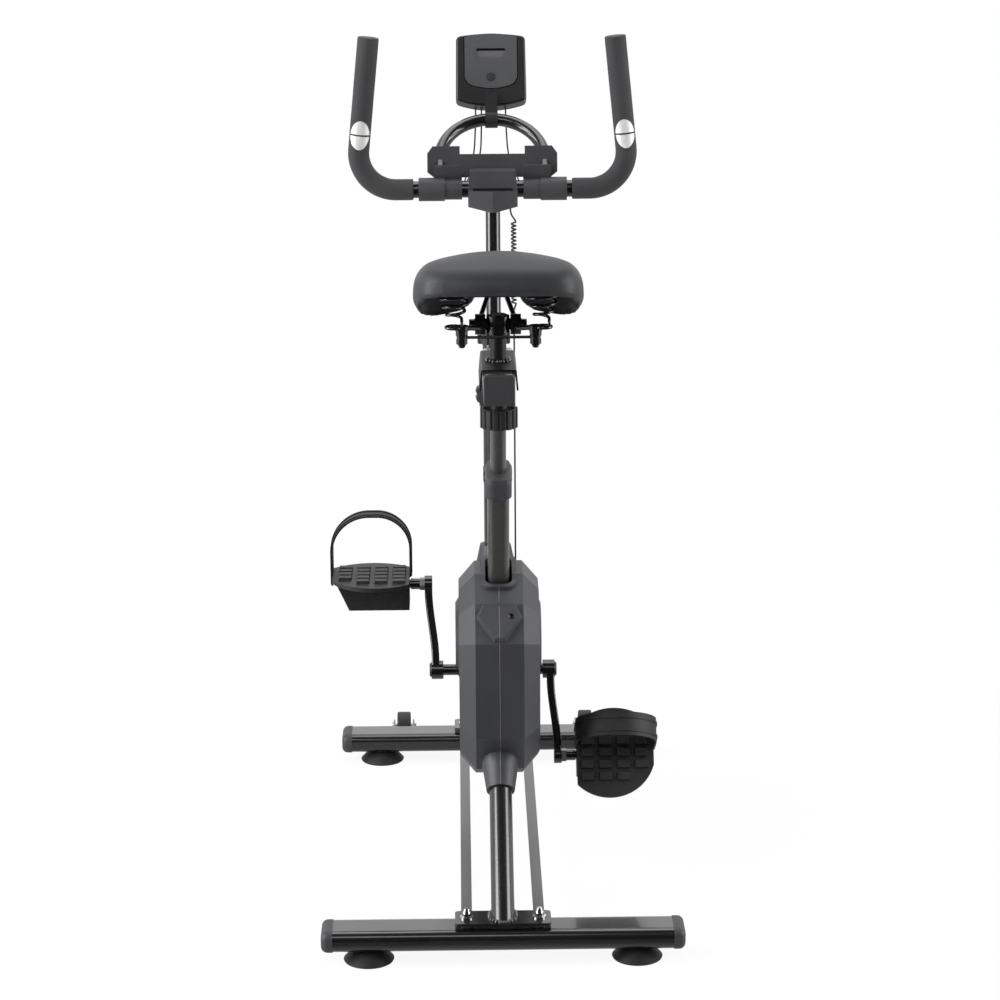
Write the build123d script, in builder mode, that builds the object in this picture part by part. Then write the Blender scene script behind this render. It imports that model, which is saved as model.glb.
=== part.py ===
from build123d import *
from math import sin, cos, tan, pi, radians, sqrt
import os

# Upright exercise bike: +Y is forward, +X the rider's right, Z = 0 the floor, sizes in mm

# Clearances
run_fit = 0.05       # shafts in bores, radial
slide_gap = 0.3      # faces that pass one another
bolt_gap = 0.2       # bolts in clearance holes, radial

# Stabilisers and feet
wheel_base = 800.0
stab_half = 250.0
stab_depth = 60.0
stab_height = 30.0
stab_corner = 12.0
stab_wall = 2.0
cap_length = 16.0
cap_plug = 12.0
foot_height = 20.0
foot_radius = 35.0
foot_x = 185.0
foot_stud = 4.0
rear_y = -423.0
front_y = rear_y + wheel_base
stab_z = foot_height + stab_height / 2
stab_top = foot_height + stab_height

# Floor bars, plates and bolts
bar_x = 50.0
bar_width = 15.0
bar_thick = 6.0
bar_tail = 14.0
plate_width = 132.0
plate_depth = 46.0
plate_thick = 4.0
plate_corner = 6.0
plate_z = stab_top + bar_thick
plate_top = plate_z + plate_thick
bolt_radius = 4.0
washer_thick = 2.0
nut_height = 9.0

# Transport wheels
wheel_x = 150.0
wheel_radius = 23.0
wheel_width = 22.0
wheel_y = front_y + stab_depth / 2 + wheel_radius + 5
wheel_z = stab_z + 2
lug_thick = 2.5
lug_inner = wheel_width / 2 + 3.5
pin_radius = 4.0

# Frame
bracket_y = rear_y + 300
bracket_z = 319.0
shell_radius = 21.0
shell_half = 34.0
cup_radius = 17.0
leg_radius = 16.0
front_leg_radius = 18.0
beam_width = 30.0
beam_height = 34.0
seat_lean = 17.0
seat_width = 30.0
seat_depth = 56.0
seat_corner = 10.0
seat_wall = 2.0
seat_top = 330.0
seat_pocket = 95.0
bushing_lip = 3.5
bushing_skirt = 22.0
post_lean = 3.85
post_radius = 17.0
post_wall = 2.0
post_foot = (0, rear_y + 569.5, 200.0)
post_top = 553.0

# Drive
axle_radius = 8.0
pulley_radius = 105.0
pulley_in = 37.0
pulley_out = 49.0
belt_thick = 3.0
belt_width = 9.0
fly_y = rear_y + 445
fly_z = 335.0
fly_radius = 90.0
fly_half = 13.0
fork_in = 20.0
fork_thick = 4.0
fly_axle = 6.0
small_pulley = 14.0

# Cranks and pedals
crank_length = 125.0
crank_angle = 17.0
left_outer = 106.0
right_outer = 90.0
arm_thick = 11.0
arm_bend = 9.0       # the boss stands this far inside the eye's outer face
boss_radius = 13.5
boss_length = 26.0
eye_radius = 12.0
spindle_radius = 6.0
pedal_inner = 22.0
pedal_length = 111.0
pedal_tilt = 58.0
strap_width = 34.0
strap_thick = 2.6
strap_rise = 99.0
strap_fore = 24.0
strap_ridge = 9.5

# Casing
case_half = 57.0
case_band = 34.0
case_bevel = 26.0
case_wall = 3.0
case_seam = 0.05
collar_low = 70.0
collar_high = 172.0
collar_foot = 112.0
collar_mouth = 86.0
beak_share = 0.65    # place of the beak's widest line along the slope behind the seat collar
beak_half = 33.0
beak_rim = 24.0
beak_tip = 8.0
beak_drop = 37.0
beak_rise = 20.0
beak_proud = 8.0
beak_taper = 24.0
screw_x = 17.0
screw_head = 4.4
screw_shank = 2.2
screw_sink = 1.6
screw_reach = 8.0

# Seat post, rail and slider
seat_post_radius = 11.0
seat_post_length = 290.0
rail_size = 42.0
rail_wall = 2.0
rail_z = 788.0
rail_rear = rear_y + 62
rail_front = rear_y + 232
rail_corner = 5.0
stud_y = rear_y + 100
stud_radius = 5.0
slide_back = 12.0
slide_ahead = 22.0
channel_rear = rear_y + 80
channel_front = rear_y + 205
channel_thick = 2.5
channel_drop = 26.0
channel_splay = 2.6
knob_radius = 25.5
knob_height = 26.0
knob_drop = 37.5
knob_flutes = 16
saddle_y = rear_y + 139
saddle_post = 11.1

# Saddle
pan_z = 926.0
pan_thick = 4.0
rail_wire = 3.5
clamp_x = 24.0
clamp_z = 862.0
spring_x = 58.0
spring_y = rear_y + 72
spring_z = 874.0
spring_wire = 2.2
spring_wide = 22.0
spring_narrow = 9.0
spring_turns = 3
nut_x = 49.0
nut_thick = 7.0
eye_thick = 4.0
nose_y = rear_y + 222
seat_ring_x = 60.0
seat_ring = 10.0
skirt = 13.0

# Stem, bar and console
stem_radius = 11.0
bar_y = rear_y + 620
bar_z = 970.0
tube_radius = 12.7
grip_radius = 15.7
bar_half = 206.0
bar_rise = 224.0
bar_tuck = 23.0
bar_bend = 55.0
grip_end = 119.0
pad_place = 84.0
pad_half = 21.5
pad_side = 14.0
pad_slit = 2.6
pad_thick = 1.2
ring_half = 30.0
ring_radius = 18.0
cover_half = 37.0
loop_x = 79.0
loop_lean = 50.0
loop_reach = 140.0
loop_radius = 9.5
tray_low = bar_z + 14
tray_near = 46.0
tray_step = 72.0
tray_far = 111.0
lip_far = 88.0
sleeve_small = 15.5
sleeve_large = 17.5
panel_half = 98.0
panel_notch = 49.0
panel_lean = 15.0
console_lean = 25.0
console_width = 108.0
console_height = 116.0
console_depth = 26.0
button_radius = 6.5
face_half = 40.0
face_rise = 4.0
face_slit = 1.6

# Curly cord
cord_radius = 1.3
curl_radius = 3.4
curl_pitch = 5.6
curl_count = 22
cord_x = 31.0

os.makedirs("parts", exist_ok=True)


def keep(builder, name):
    builder.part.label = name
    export_step(builder.part, "parts/" + name + ".step")


def along(start, end):
    return Plane(origin=start, x_dir=(1, 0, 0), z_dir=Vector(*end) - Vector(*start))


# One smooth pair of arcs from point p with heading s to point q with heading e
def biarc(p, s, q, e):
    v = q - p
    t = s + e
    a = 2 * (1 - s.dot(e))
    b = v.dot(t)
    c = v.dot(v)
    reach = c / (4 * v.dot(e)) if a < 1e-9 else (sqrt(b * b + a * c) - b) / a
    corner = p + s * reach
    middle = (corner + q - e * reach) * 0.5
    TangentArc(p, middle, tangent=s)
    TangentArc(middle, q, tangent=(middle - corner).normalized())


# Least distance between points of a wound tube that are over half a turn apart, less the wire
def self_gap(edge_wire, wire_radius, skip, count):
    points = edge_wire.positions([i / count for i in range(count + 1)])
    least = 1e9
    for i, first in enumerate(points):
        for second in points[i + skip::2]:
            least = min(least, (first - second).length)
    return least - 2 * wire_radius


# The points of a clockwise outline with every edge moved inwards
def inset_outline(points, amount):
    moved = []
    for i, (x, y) in enumerate(points):
        before = Vector(x - points[i - 1][0], y - points[i - 1][1]).normalized()
        after_point = points[(i + 1) % len(points)]
        after = Vector(after_point[0] - x, after_point[1] - y).normalized()
        inward = Vector(before.Y + after.Y, -before.X - after.X)
        scale = amount / (1 + before.dot(after))
        moved.append((x + inward.X * scale, y + inward.Y * scale))
    return moved


# Planes along the main tubes
seat_dir = Vector(0, -sin(radians(seat_lean)), cos(radians(seat_lean)))
seat_plane = Plane(origin=(0, bracket_y, bracket_z), x_dir=(1, 0, 0), z_dir=seat_dir)
post_dir = Vector(0, sin(radians(post_lean)), cos(radians(post_lean)))
post_plane = Plane(origin=post_foot, x_dir=(1, 0, 0), z_dir=post_dir)
leg_start = (0, rear_y, plate_top - 3)
leg_end = (0, bracket_y, bracket_z)
leg_plane = along(leg_start, leg_end)
leg_length = (Vector(*leg_end) - Vector(*leg_start)).length
toe_start = (0, front_y, plate_top - 3)
toe_plane = along(toe_start, post_foot)
toe_length = (Vector(*post_foot) - Vector(*toe_start)).length
beam_start = leg_plane.from_local_coords((0, 0, leg_length * 0.68))
beam_plane = along(beam_start, post_foot)
beam_length = (Vector(*post_foot) - beam_start).length
stem_gap = (bar_z - post_foot[2]) / cos(radians(post_lean))
bar_y = post_plane.from_local_coords((0, 0, stem_gap)).Y
stab_places = [(x, y) for y in (rear_y, front_y) for x in (-bar_x, bar_x)]

# Stabiliser tubes: flattened tubes with foot and bolt holes, the front one with wheel lugs
for stab_name, stab_y in (("rear_stabiliser", rear_y), ("front_stabiliser", front_y)):
    with BuildPart() as stabiliser:
        with BuildSketch(Plane.YZ.offset(cap_length - stab_half)):
            with Locations((stab_y, stab_z)):
                RectangleRounded(stab_depth, stab_height, stab_corner)
        extrude(amount=2 * (stab_half - cap_length))
        if stab_name == "front_stabiliser":
            for side in (-1, 1):
                for lug in (-1, 1):
                    lug_x = side * wheel_x + lug * (lug_inner + lug_thick / 2) - lug_thick / 2
                    with BuildSketch(Plane.YZ.offset(lug_x)):
                        with BuildLine():
                            Polyline((front_y, stab_z - 10), (wheel_y, wheel_z - 11), (wheel_y + 9, wheel_z),
                                     (wheel_y, wheel_z + 11), (front_y, stab_z + 13), close=True)
                        make_face()
                    extrude(amount=lug_thick)
            with BuildSketch(Plane.YZ.offset(-stab_half)):
                with Locations((wheel_y, wheel_z)):
                    Circle(pin_radius + bolt_gap)
            extrude(amount=2 * stab_half, mode=Mode.SUBTRACT)
        with BuildSketch(Plane.YZ.offset(-stab_half)):
            with Locations((stab_y, stab_z)):
                RectangleRounded(stab_depth - 2 * stab_wall, stab_height - 2 * stab_wall,
                                 stab_corner - stab_wall)
        extrude(amount=2 * stab_half, mode=Mode.SUBTRACT)
        with BuildSketch(Plane.XY.offset(foot_height - 1)):
            with Locations((-bar_x, stab_y), (bar_x, stab_y)):
                Circle(bolt_radius + bolt_gap)
        extrude(amount=stab_height + 2, mode=Mode.SUBTRACT)
        with BuildSketch(Plane.XY.offset(foot_height - 1)):
            with Locations((-foot_x, stab_y), (foot_x, stab_y)):
                Circle(foot_stud)
        extrude(amount=stab_wall + 2, mode=Mode.SUBTRACT)
    keep(stabiliser, stab_name)

# Moulded end caps with a plug inside each tube end
with BuildPart() as stabiliser_caps:
    for stab_y in (rear_y, front_y):
        for side in (-1, 1):
            cap_plane = Plane(origin=(side * (stab_half - cap_length), stab_y, stab_z), x_dir=(0, 1, 0),
                              z_dir=(side, 0, 0))
            with BuildSketch(cap_plane):
                RectangleRounded(stab_depth + 1.6, stab_height + 1.6, stab_corner)
            extrude(amount=cap_length)
            fillet(faces(Select.LAST).sort_by(Axis.X)[-1 if side > 0 else 0].edges(), 9)
            with BuildSketch(cap_plane):
                RectangleRounded(stab_depth - 2 * stab_wall, stab_height - 2 * stab_wall,
                                 stab_corner - stab_wall)
            extrude(amount=-cap_plug)
keep(stabiliser_caps, "stabiliser_caps")

# Round feet: a low dome with a stud in the tube
with BuildPart() as feet:
    with BuildSketch(Plane.XZ):
        with BuildLine():
            Line((0, 0), (foot_radius - 1, 0))
            Line((foot_radius - 1, 0), (foot_radius, 2))
            ThreePointArc((foot_radius, 2), (foot_radius * 0.75, 11), (15, foot_height))
            Line((15, foot_height), (foot_stud, foot_height))
            Line((foot_stud, foot_height), (foot_stud, foot_height + 9))
            Line((foot_stud, foot_height + 9), (0, foot_height + 9))
            Line((0, foot_height + 9), (0, 0))
        make_face()
    foot = revolve(axis=Axis.Z, mode=Mode.PRIVATE)
    with Locations([(x, y, 0) for x in (-foot_x, foot_x) for y in (rear_y, front_y)]):
        add(foot)
keep(feet, "feet")

# Flat floor bars between the stabilisers
with BuildPart() as floor_bars:
    with BuildSketch(Plane.XY.offset(stab_top)):
        for x in (-bar_x, bar_x):
            with Locations((x, (rear_y + front_y) / 2)):
                RectangleRounded(bar_width, wheel_base + 2 * bar_tail, 3)
        with Locations(*stab_places):
            Circle(bolt_radius + bolt_gap, mode=Mode.SUBTRACT)
    extrude(amount=bar_thick)
keep(floor_bars, "floor_bars")

# Bolts with a low head below the tube, washers and domed nuts on the plates
bolt_top = plate_top + washer_thick + nut_height * 0.7
with BuildPart() as stabiliser_bolts:
    for x, y in stab_places:
        with BuildSketch(Plane.XY.offset(foot_height)):
            with Locations((x, y)):
                Circle(bolt_radius)
        extrude(amount=bolt_top - foot_height)
        with BuildSketch(Plane.XY.offset(foot_height)):
            with Locations((x, y)):
                Circle(2.2 * bolt_radius)
        extrude(amount=-4, taper=20)
keep(stabiliser_bolts, "stabiliser_bolts")

with BuildPart() as stabiliser_washers:
    with BuildSketch(Plane.XY.offset(plate_top)):
        with Locations(*stab_places):
            Circle(2.3 * bolt_radius)
            Circle(bolt_radius, mode=Mode.SUBTRACT)
    extrude(amount=washer_thick)
keep(stabiliser_washers, "stabiliser_washers")

with BuildPart() as stabiliser_nuts:
    nut_z = plate_top + washer_thick
    with BuildSketch(Plane.XY.offset(nut_z)):
        with Locations(*stab_places):
            RegularPolygon(1.7 * bolt_radius, 6)
    extrude(amount=nut_height * 0.55)
    with BuildSketch(Plane.XY.offset(nut_z + nut_height * 0.55)):
        with Locations(*stab_places):
            Circle(1.4 * bolt_radius)
    extrude(amount=nut_height * 0.75, taper=18)
    with BuildSketch(Plane.XY.offset(nut_z)):
        with Locations(*stab_places):
            Circle(bolt_radius)
    extrude(amount=bolt_top - nut_z, mode=Mode.SUBTRACT)
keep(stabiliser_nuts, "stabiliser_nuts")

# Transport wheels and their pins
with BuildPart() as wheel_pins:
    for side in (-1, 1):
        pin_end = lug_inner + lug_thick
        with BuildSketch(Plane.YZ.offset(side * wheel_x - pin_end)):
            with Locations((wheel_y, wheel_z)):
                Circle(pin_radius)
        extrude(amount=2 * pin_end)
        for end in (-1, 1):
            head_plane = Plane(origin=(side * wheel_x + end * pin_end, wheel_y, wheel_z), x_dir=(0, 1, 0),
                               z_dir=(end, 0, 0))
            with BuildSketch(head_plane):
                Circle(6.5)
            extrude(amount=3, taper=12)
keep(wheel_pins, "wheel_pins")

for wheel_name, side in (("wheel_left", -1), ("wheel_right", 1)):
    with BuildPart() as wheel:
        with BuildSketch(Plane.YZ.offset(side * wheel_x - wheel_width / 2)):
            with Locations((wheel_y, wheel_z)):
                Circle(wheel_radius)
        extrude(amount=wheel_width)
        fillet(edges().filter_by(GeomType.CIRCLE), 3)
        for end in (-1, 1):
            wheel_face = side * wheel_x + end * wheel_width / 2
            recess = Plane(origin=(wheel_face, wheel_y, wheel_z), x_dir=(0, 1, 0), z_dir=(end, 0, 0))
            with BuildSketch(recess):
                Circle(wheel_radius - 6)
                Circle(9, mode=Mode.SUBTRACT)
            extrude(amount=-5, mode=Mode.SUBTRACT)
        with BuildSketch(Plane.YZ.offset(side * wheel_x - wheel_width)):
            with Locations((wheel_y, wheel_z)):
                Circle(pin_radius + run_fit)
        extrude(amount=2 * wheel_width, mode=Mode.SUBTRACT)
    keep(wheel, wheel_name)

# Welded frame: legs, beam, bracket shell, seat tube, front tube, plates and flywheel fork
with BuildPart() as main_frame:
    for y in (rear_y, front_y):
        with BuildSketch(Plane.XY.offset(plate_z)):
            with Locations((0, y)):
                RectangleRounded(plate_width, plate_depth, plate_corner)
        extrude(amount=plate_thick)
    with BuildSketch(leg_plane):
        Circle(leg_radius)
    extrude(amount=leg_length)
    with BuildSketch(toe_plane):
        Circle(front_leg_radius)
    extrude(amount=toe_length)
    with BuildSketch(Plane.XY):
        Rectangle(4 * plate_width, 4 * wheel_base)
    extrude(amount=plate_z, mode=Mode.SUBTRACT)
    with BuildSketch(beam_plane):
        RectangleRounded(beam_width, beam_height, 6)
    extrude(amount=beam_length)
    with BuildSketch(seat_plane):
        RectangleRounded(seat_width, seat_depth, seat_corner)
    extrude(amount=seat_top)
    with BuildSketch(post_plane):
        Circle(post_radius)
    extrude(amount=post_top)
    with BuildSketch(Plane.YZ.offset(-shell_half)):
        with Locations((bracket_y, bracket_z)):
            Circle(shell_radius)
    extrude(amount=2 * shell_half)
    for side in (-1, 1):
        with BuildSketch(Plane.YZ.offset(side * (fork_in + fork_thick / 2) - fork_thick / 2)):
            with BuildLine():
                Polyline((fly_y - 22, fly_z - 122), (fly_y + 22, fly_z - 126), (fly_y + 13, fly_z),
                         (fly_y + 8, fly_z + 13), (fly_y - 8, fly_z + 13), (fly_y - 13, fly_z), close=True)
            make_face()
        extrude(amount=fork_thick)
    with BuildSketch(beam_plane.offset(beam_length * 0.66)):
        RectangleRounded(2 * (fork_in + fork_thick), beam_height - 4, 3)
    extrude(amount=36)
    with BuildSketch(Plane.YZ.offset(-case_half)):
        with Locations((fly_y, fly_z)):
            Circle(fly_axle + run_fit)
    extrude(amount=2 * case_half, mode=Mode.SUBTRACT)
    with BuildSketch(Plane.YZ.offset(-shell_half)):
        with Locations((bracket_y, bracket_z)):
            Circle(cup_radius)
    extrude(amount=2 * shell_half, mode=Mode.SUBTRACT)
    with BuildSketch(post_plane.offset(post_top - 270)):
        Circle(post_radius - post_wall)
    extrude(amount=post_top, mode=Mode.SUBTRACT)
    with BuildSketch(Plane.XY.offset(plate_z)):
        with Locations(*stab_places):
            Circle(bolt_radius + bolt_gap)
    extrude(amount=plate_thick, mode=Mode.SUBTRACT)
    knob_plane = Plane(origin=seat_plane.from_local_coords((0, 0, seat_top - 34)), x_dir=(1, 0, 0),
                       z_dir=seat_plane.y_dir)
    with BuildSketch(knob_plane):
        Circle(9)
    extrude(amount=seat_depth / 2 + 12)
    with BuildSketch(seat_plane.offset(seat_pocket)):
        RectangleRounded(seat_width - 2 * seat_wall, seat_depth - 2 * seat_wall, seat_corner - seat_wall)
    extrude(amount=seat_top, mode=Mode.SUBTRACT)
    with BuildSketch(knob_plane):
        Circle(5 + run_fit)
    extrude(amount=seat_depth, mode=Mode.SUBTRACT)
keep(main_frame, "main_frame")

# Bearing cups in the bracket shell
with BuildPart() as bracket_cups:
    for side in (-1, 1):
        cup_plane = Plane(origin=(side * shell_half, bracket_y, bracket_z), x_dir=(0, 1, 0),
                          z_dir=(side, 0, 0))
        with BuildSketch(cup_plane):
            Circle(cup_radius)
            Circle(axle_radius + run_fit, mode=Mode.SUBTRACT)
        extrude(amount=-14)
        with BuildSketch(cup_plane):
            Circle(shell_radius - 1)
            Circle(axle_radius + run_fit, mode=Mode.SUBTRACT)
        extrude(amount=2)
keep(bracket_cups, "bracket_cups")

# Crank axle through the bracket
with BuildPart() as crank_axle:
    with BuildSketch(Plane.YZ.offset(arm_bend + 3 - left_outer)):
        with Locations((bracket_y, bracket_z)):
            Circle(axle_radius)
    extrude(amount=left_outer + right_outer - 2 * (arm_bend + 3))
keep(crank_axle, "crank_axle")

# Drive pulley with a rim, a thin web and a hub
with BuildPart() as drive_pulley:
    with BuildSketch(Plane.YZ.offset(pulley_in)):
        with Locations((bracket_y, bracket_z)):
            Circle(pulley_radius)
    extrude(amount=pulley_out - pulley_in)
    for face_x, face_dir in ((pulley_in, -1), (pulley_out, 1)):
        web_plane = Plane(origin=(face_x, bracket_y, bracket_z), x_dir=(0, 1, 0), z_dir=(face_dir, 0, 0))
        with BuildSketch(web_plane):
            Circle(pulley_radius - 8)
            Circle(24, mode=Mode.SUBTRACT)
        extrude(amount=-4, mode=Mode.SUBTRACT)
    with BuildSketch(Plane.YZ.offset(pulley_in)):
        with Locations((bracket_y, bracket_z)):
            with PolarLocations(60, 6):
                Circle(20)
    extrude(amount=pulley_out - pulley_in, mode=Mode.SUBTRACT)
    with BuildSketch(Plane.YZ.offset(pulley_in)):
        with Locations((bracket_y, bracket_z)):
            Circle(axle_radius)
    extrude(amount=pulley_out - pulley_in, mode=Mode.SUBTRACT)
keep(drive_pulley, "drive_pulley")

# Cranks: a boss on the axle, a bent tapering arm and an eye for the pedal
crank_up = Vector(0, sin(radians(crank_angle)), cos(radians(crank_angle)))
crank_ahead = Vector(0, cos(radians(crank_angle)), -sin(radians(crank_angle)))
bracket_point = Vector(0, bracket_y, bracket_z)
for crank_name, side, outer in (("crank_left", -1, left_outer), ("crank_right", 1, right_outer)):
    reach = -side
    crank_plane = Plane(origin=bracket_point + Vector(side * outer, 0, 0), x_dir=crank_up * reach,
                        z_dir=(-side, 0, 0))
    with BuildPart() as crank:
        with BuildSketch(crank_plane.offset(arm_bend)):
            Circle(boss_radius)
        extrude(amount=boss_length - arm_bend)
        for share, inset, width in ((0.03, 1.0, 2 * boss_radius - 3), (0.36, 0.8, 2 * eye_radius - 2),
                                    (0.68, 0.22, 2 * eye_radius - 4), (0.94, 0.0, 2 * eye_radius - 5)):
            arm_point = crank_plane.from_local_coords((share * crank_length, 0,
                                                       inset * arm_bend + arm_thick / 2))
            with BuildSketch(Plane(origin=arm_point, x_dir=crank_plane.y_dir, z_dir=crank_plane.x_dir)):
                RectangleRounded(width, arm_thick, 3)
        loft()
        with BuildSketch(crank_plane):
            with Locations((crank_length, 0)):
                Circle(eye_radius)
        extrude(amount=arm_thick)
        with BuildSketch(crank_plane):
            Circle(axle_radius)
        extrude(amount=boss_length, mode=Mode.SUBTRACT)
        with BuildSketch(crank_plane):
            Circle(11)
        extrude(amount=arm_bend + 3, mode=Mode.SUBTRACT)
        with BuildSketch(crank_plane):
            with Locations((crank_length, 0)):
                Circle(spindle_radius)
        extrude(amount=arm_thick, mode=Mode.SUBTRACT)
    keep(crank, crank_name)

# Round caps over the axle ends
with BuildPart() as crank_caps:
    for side, outer in ((-1, left_outer), (1, right_outer)):
        end_plane = Plane(origin=(side * (outer - arm_bend - 3), bracket_y, bracket_z), x_dir=(0, 1, 0),
                          z_dir=(side, 0, 0))
        with BuildSketch(end_plane):
            Circle(11)
        extrude(amount=3)
        with BuildSketch(end_plane.offset(3)):
            Circle(11)
        extrude(amount=3, taper=35)
keep(crank_caps, "crank_caps")

# Pedal spindles, each with a collar against the crank
pedal_points = {}
with BuildPart() as pedal_spindles:
    for side, outer, reach in ((-1, left_outer, 1), (1, right_outer, -1)):
        eye = bracket_point + crank_up * (reach * crank_length) + Vector(side * (outer - arm_thick), 0, 0)
        pedal_points[side] = eye
        spindle_plane = Plane(origin=eye, x_dir=(0, 1, 0), z_dir=(side, 0, 0))
        with BuildSketch(spindle_plane):
            Circle(spindle_radius)
        extrude(amount=arm_thick + pedal_inner + pedal_length - 16)
        with BuildSketch(spindle_plane.offset(arm_thick)):
            RegularPolygon(9.5, 6)
        extrude(amount=7)
        with BuildSketch(spindle_plane.offset(arm_thick + 7)):
            Circle(8)
        extrude(amount=pedal_inner - 9)
keep(pedal_spindles, "pedal_spindles")

# Pedals: a treaded plate over a weighted box, and a strap over the foot
for pedal_name, strap_name, side, tilt in (("pedal_left", "strap_left", -1, 0),
                                           ("pedal_right", "strap_right", 1, pedal_tilt)):
    eye = pedal_points[side] + Vector(side * arm_thick, 0, 0)
    up = Vector(0, -sin(radians(tilt)), cos(radians(tilt)))
    flat_plane = Plane(origin=eye, x_dir=(side, 0, 0), z_dir=up)
    fore = flat_plane.y_dir.dot(Vector(0, cos(radians(tilt)), sin(radians(tilt))))
    tread_z = 13.0
    outer_edge = pedal_inner + pedal_length
    with BuildPart() as pedal:
        with BuildSketch(flat_plane.offset(tread_z - 6)):
            with BuildLine():
                Line((pedal_inner, fore * -46), (pedal_inner, fore * 44))
                ThreePointArc((pedal_inner, fore * 44), (pedal_inner + 54, fore * 66),
                              (outer_edge, fore * 41))
                Line((outer_edge, fore * 41), (outer_edge, fore * -18))
                ThreePointArc((outer_edge, fore * -18), (pedal_inner + 78, fore * -58),
                              (pedal_inner, fore * -46))
            make_face()
        extrude(amount=6)
        with BuildSketch(flat_plane.offset(tread_z)):
            for column in range(4):
                for row in range(-2 if column < 3 else -1, 3):
                    with Locations((pedal_inner + 15 + 26 * column, fore * 17.5 * row)):
                        RectangleRounded(20, 13, 2)
        extrude(amount=4, taper=14)
        front_plane = Plane(origin=eye + flat_plane.y_dir * 26, x_dir=(side, 0, 0), z_dir=flat_plane.y_dir)
        flip = front_plane.y_dir.dot(up)
        with BuildSketch(front_plane):
            with BuildLine():
                Polyline((pedal_inner, flip * (tread_z - 6)), (outer_edge - 6, flip * (tread_z - 6)),
                         (outer_edge - 24, flip * -32), (pedal_inner, flip * -32), close=True)
            make_face()
        extrude(amount=-52)
        with BuildSketch(Plane(origin=eye, x_dir=(0, 1, 0), z_dir=(side, 0, 0))):
            Circle(spindle_radius + run_fit)
        extrude(amount=pedal_inner + pedal_length - 12, mode=Mode.SUBTRACT)
    keep(pedal, pedal_name)
    with BuildPart() as strap:
        strap_plane = Plane(origin=eye + flat_plane.y_dir * (fore * strap_fore), x_dir=(side, 0, 0),
                            z_dir=flat_plane.y_dir)
        with BuildLine(strap_plane) as strap_path:
            low = pedal_inner - strap_thick / 2
            high = outer_edge + strap_thick / 2
            FilletPolyline((high, flip * -4), (high, flip * strap_rise), (low, flip * strap_rise),
                           (low, flip * 8), radius=[54, 48])
        with BuildSketch(Plane(origin=strap_path.line @ 0, x_dir=(side, 0, 0), z_dir=strap_path.line % 0)):
            Rectangle(strap_thick, strap_width)
            with Locations((strap_thick / 2, strap_ridge), (strap_thick / 2, -strap_ridge)):
                Rectangle(strap_thick, 3.6)
        sweep(path=strap_path.line)
    keep(strap, strap_name)

# Flywheel on a live axle with its small pulley
with BuildPart() as flywheel:
    with BuildSketch(Plane.YZ.offset(-fly_half)):
        with Locations((fly_y, fly_z)):
            Circle(fly_radius)
    extrude(amount=2 * fly_half)
    for end in (-1, 1):
        dish = Plane(origin=(end * fly_half, fly_y, fly_z), x_dir=(0, 1, 0), z_dir=(end, 0, 0))
        with BuildSketch(dish):
            Circle(fly_radius - 22)
            Circle(18, mode=Mode.SUBTRACT)
        extrude(amount=-7, mode=Mode.SUBTRACT)
    with BuildSketch(Plane.YZ.offset(-fly_half)):
        with Locations((fly_y, fly_z)):
            Circle(fly_axle)
    extrude(amount=2 * fly_half, mode=Mode.SUBTRACT)
keep(flywheel, "flywheel")

with BuildPart() as flywheel_axle:
    with BuildSketch(Plane.YZ.offset(-fork_in - fork_thick - 6)):
        with Locations((fly_y, fly_z)):
            Circle(fly_axle)
    extrude(amount=fork_in + fork_thick + 6 + pulley_out + 3)
    with BuildSketch(Plane.YZ.offset(-fork_in + 1)):
        with Locations((fly_y, fly_z)):
            Circle(fly_axle + 3)
    extrude(amount=fork_in - 1 - fly_half)
    with BuildSketch(Plane.YZ.offset(fly_half)):
        with Locations((fly_y, fly_z)):
            Circle(fly_axle + 3)
    extrude(amount=fork_in - 1 - fly_half)
keep(flywheel_axle, "flywheel_axle")

with BuildPart() as flywheel_pulley:
    with BuildSketch(Plane.YZ.offset(pulley_in - 2)):
        with Locations((fly_y, fly_z)):
            Circle(small_pulley)
            Circle(fly_axle, mode=Mode.SUBTRACT)
    extrude(amount=pulley_out - pulley_in + 2)
keep(flywheel_pulley, "flywheel_pulley")

# Belt round both pulleys: two wraps and two tangent runs
with BuildPart() as belt:
    for grow, mode in ((slide_gap + belt_thick, Mode.ADD), (slide_gap, Mode.SUBTRACT)):
        big = pulley_radius + grow
        small = small_pulley + grow
        with BuildSketch(Plane.YZ.offset((pulley_in + pulley_out - belt_width) / 2)):
            with Locations((bracket_y, bracket_z)):
                Circle(big)
            with Locations((fly_y, fly_z)):
                Circle(small)
            make_hull()
        extrude(amount=belt_width, mode=mode)
keep(belt, "belt")

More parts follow.
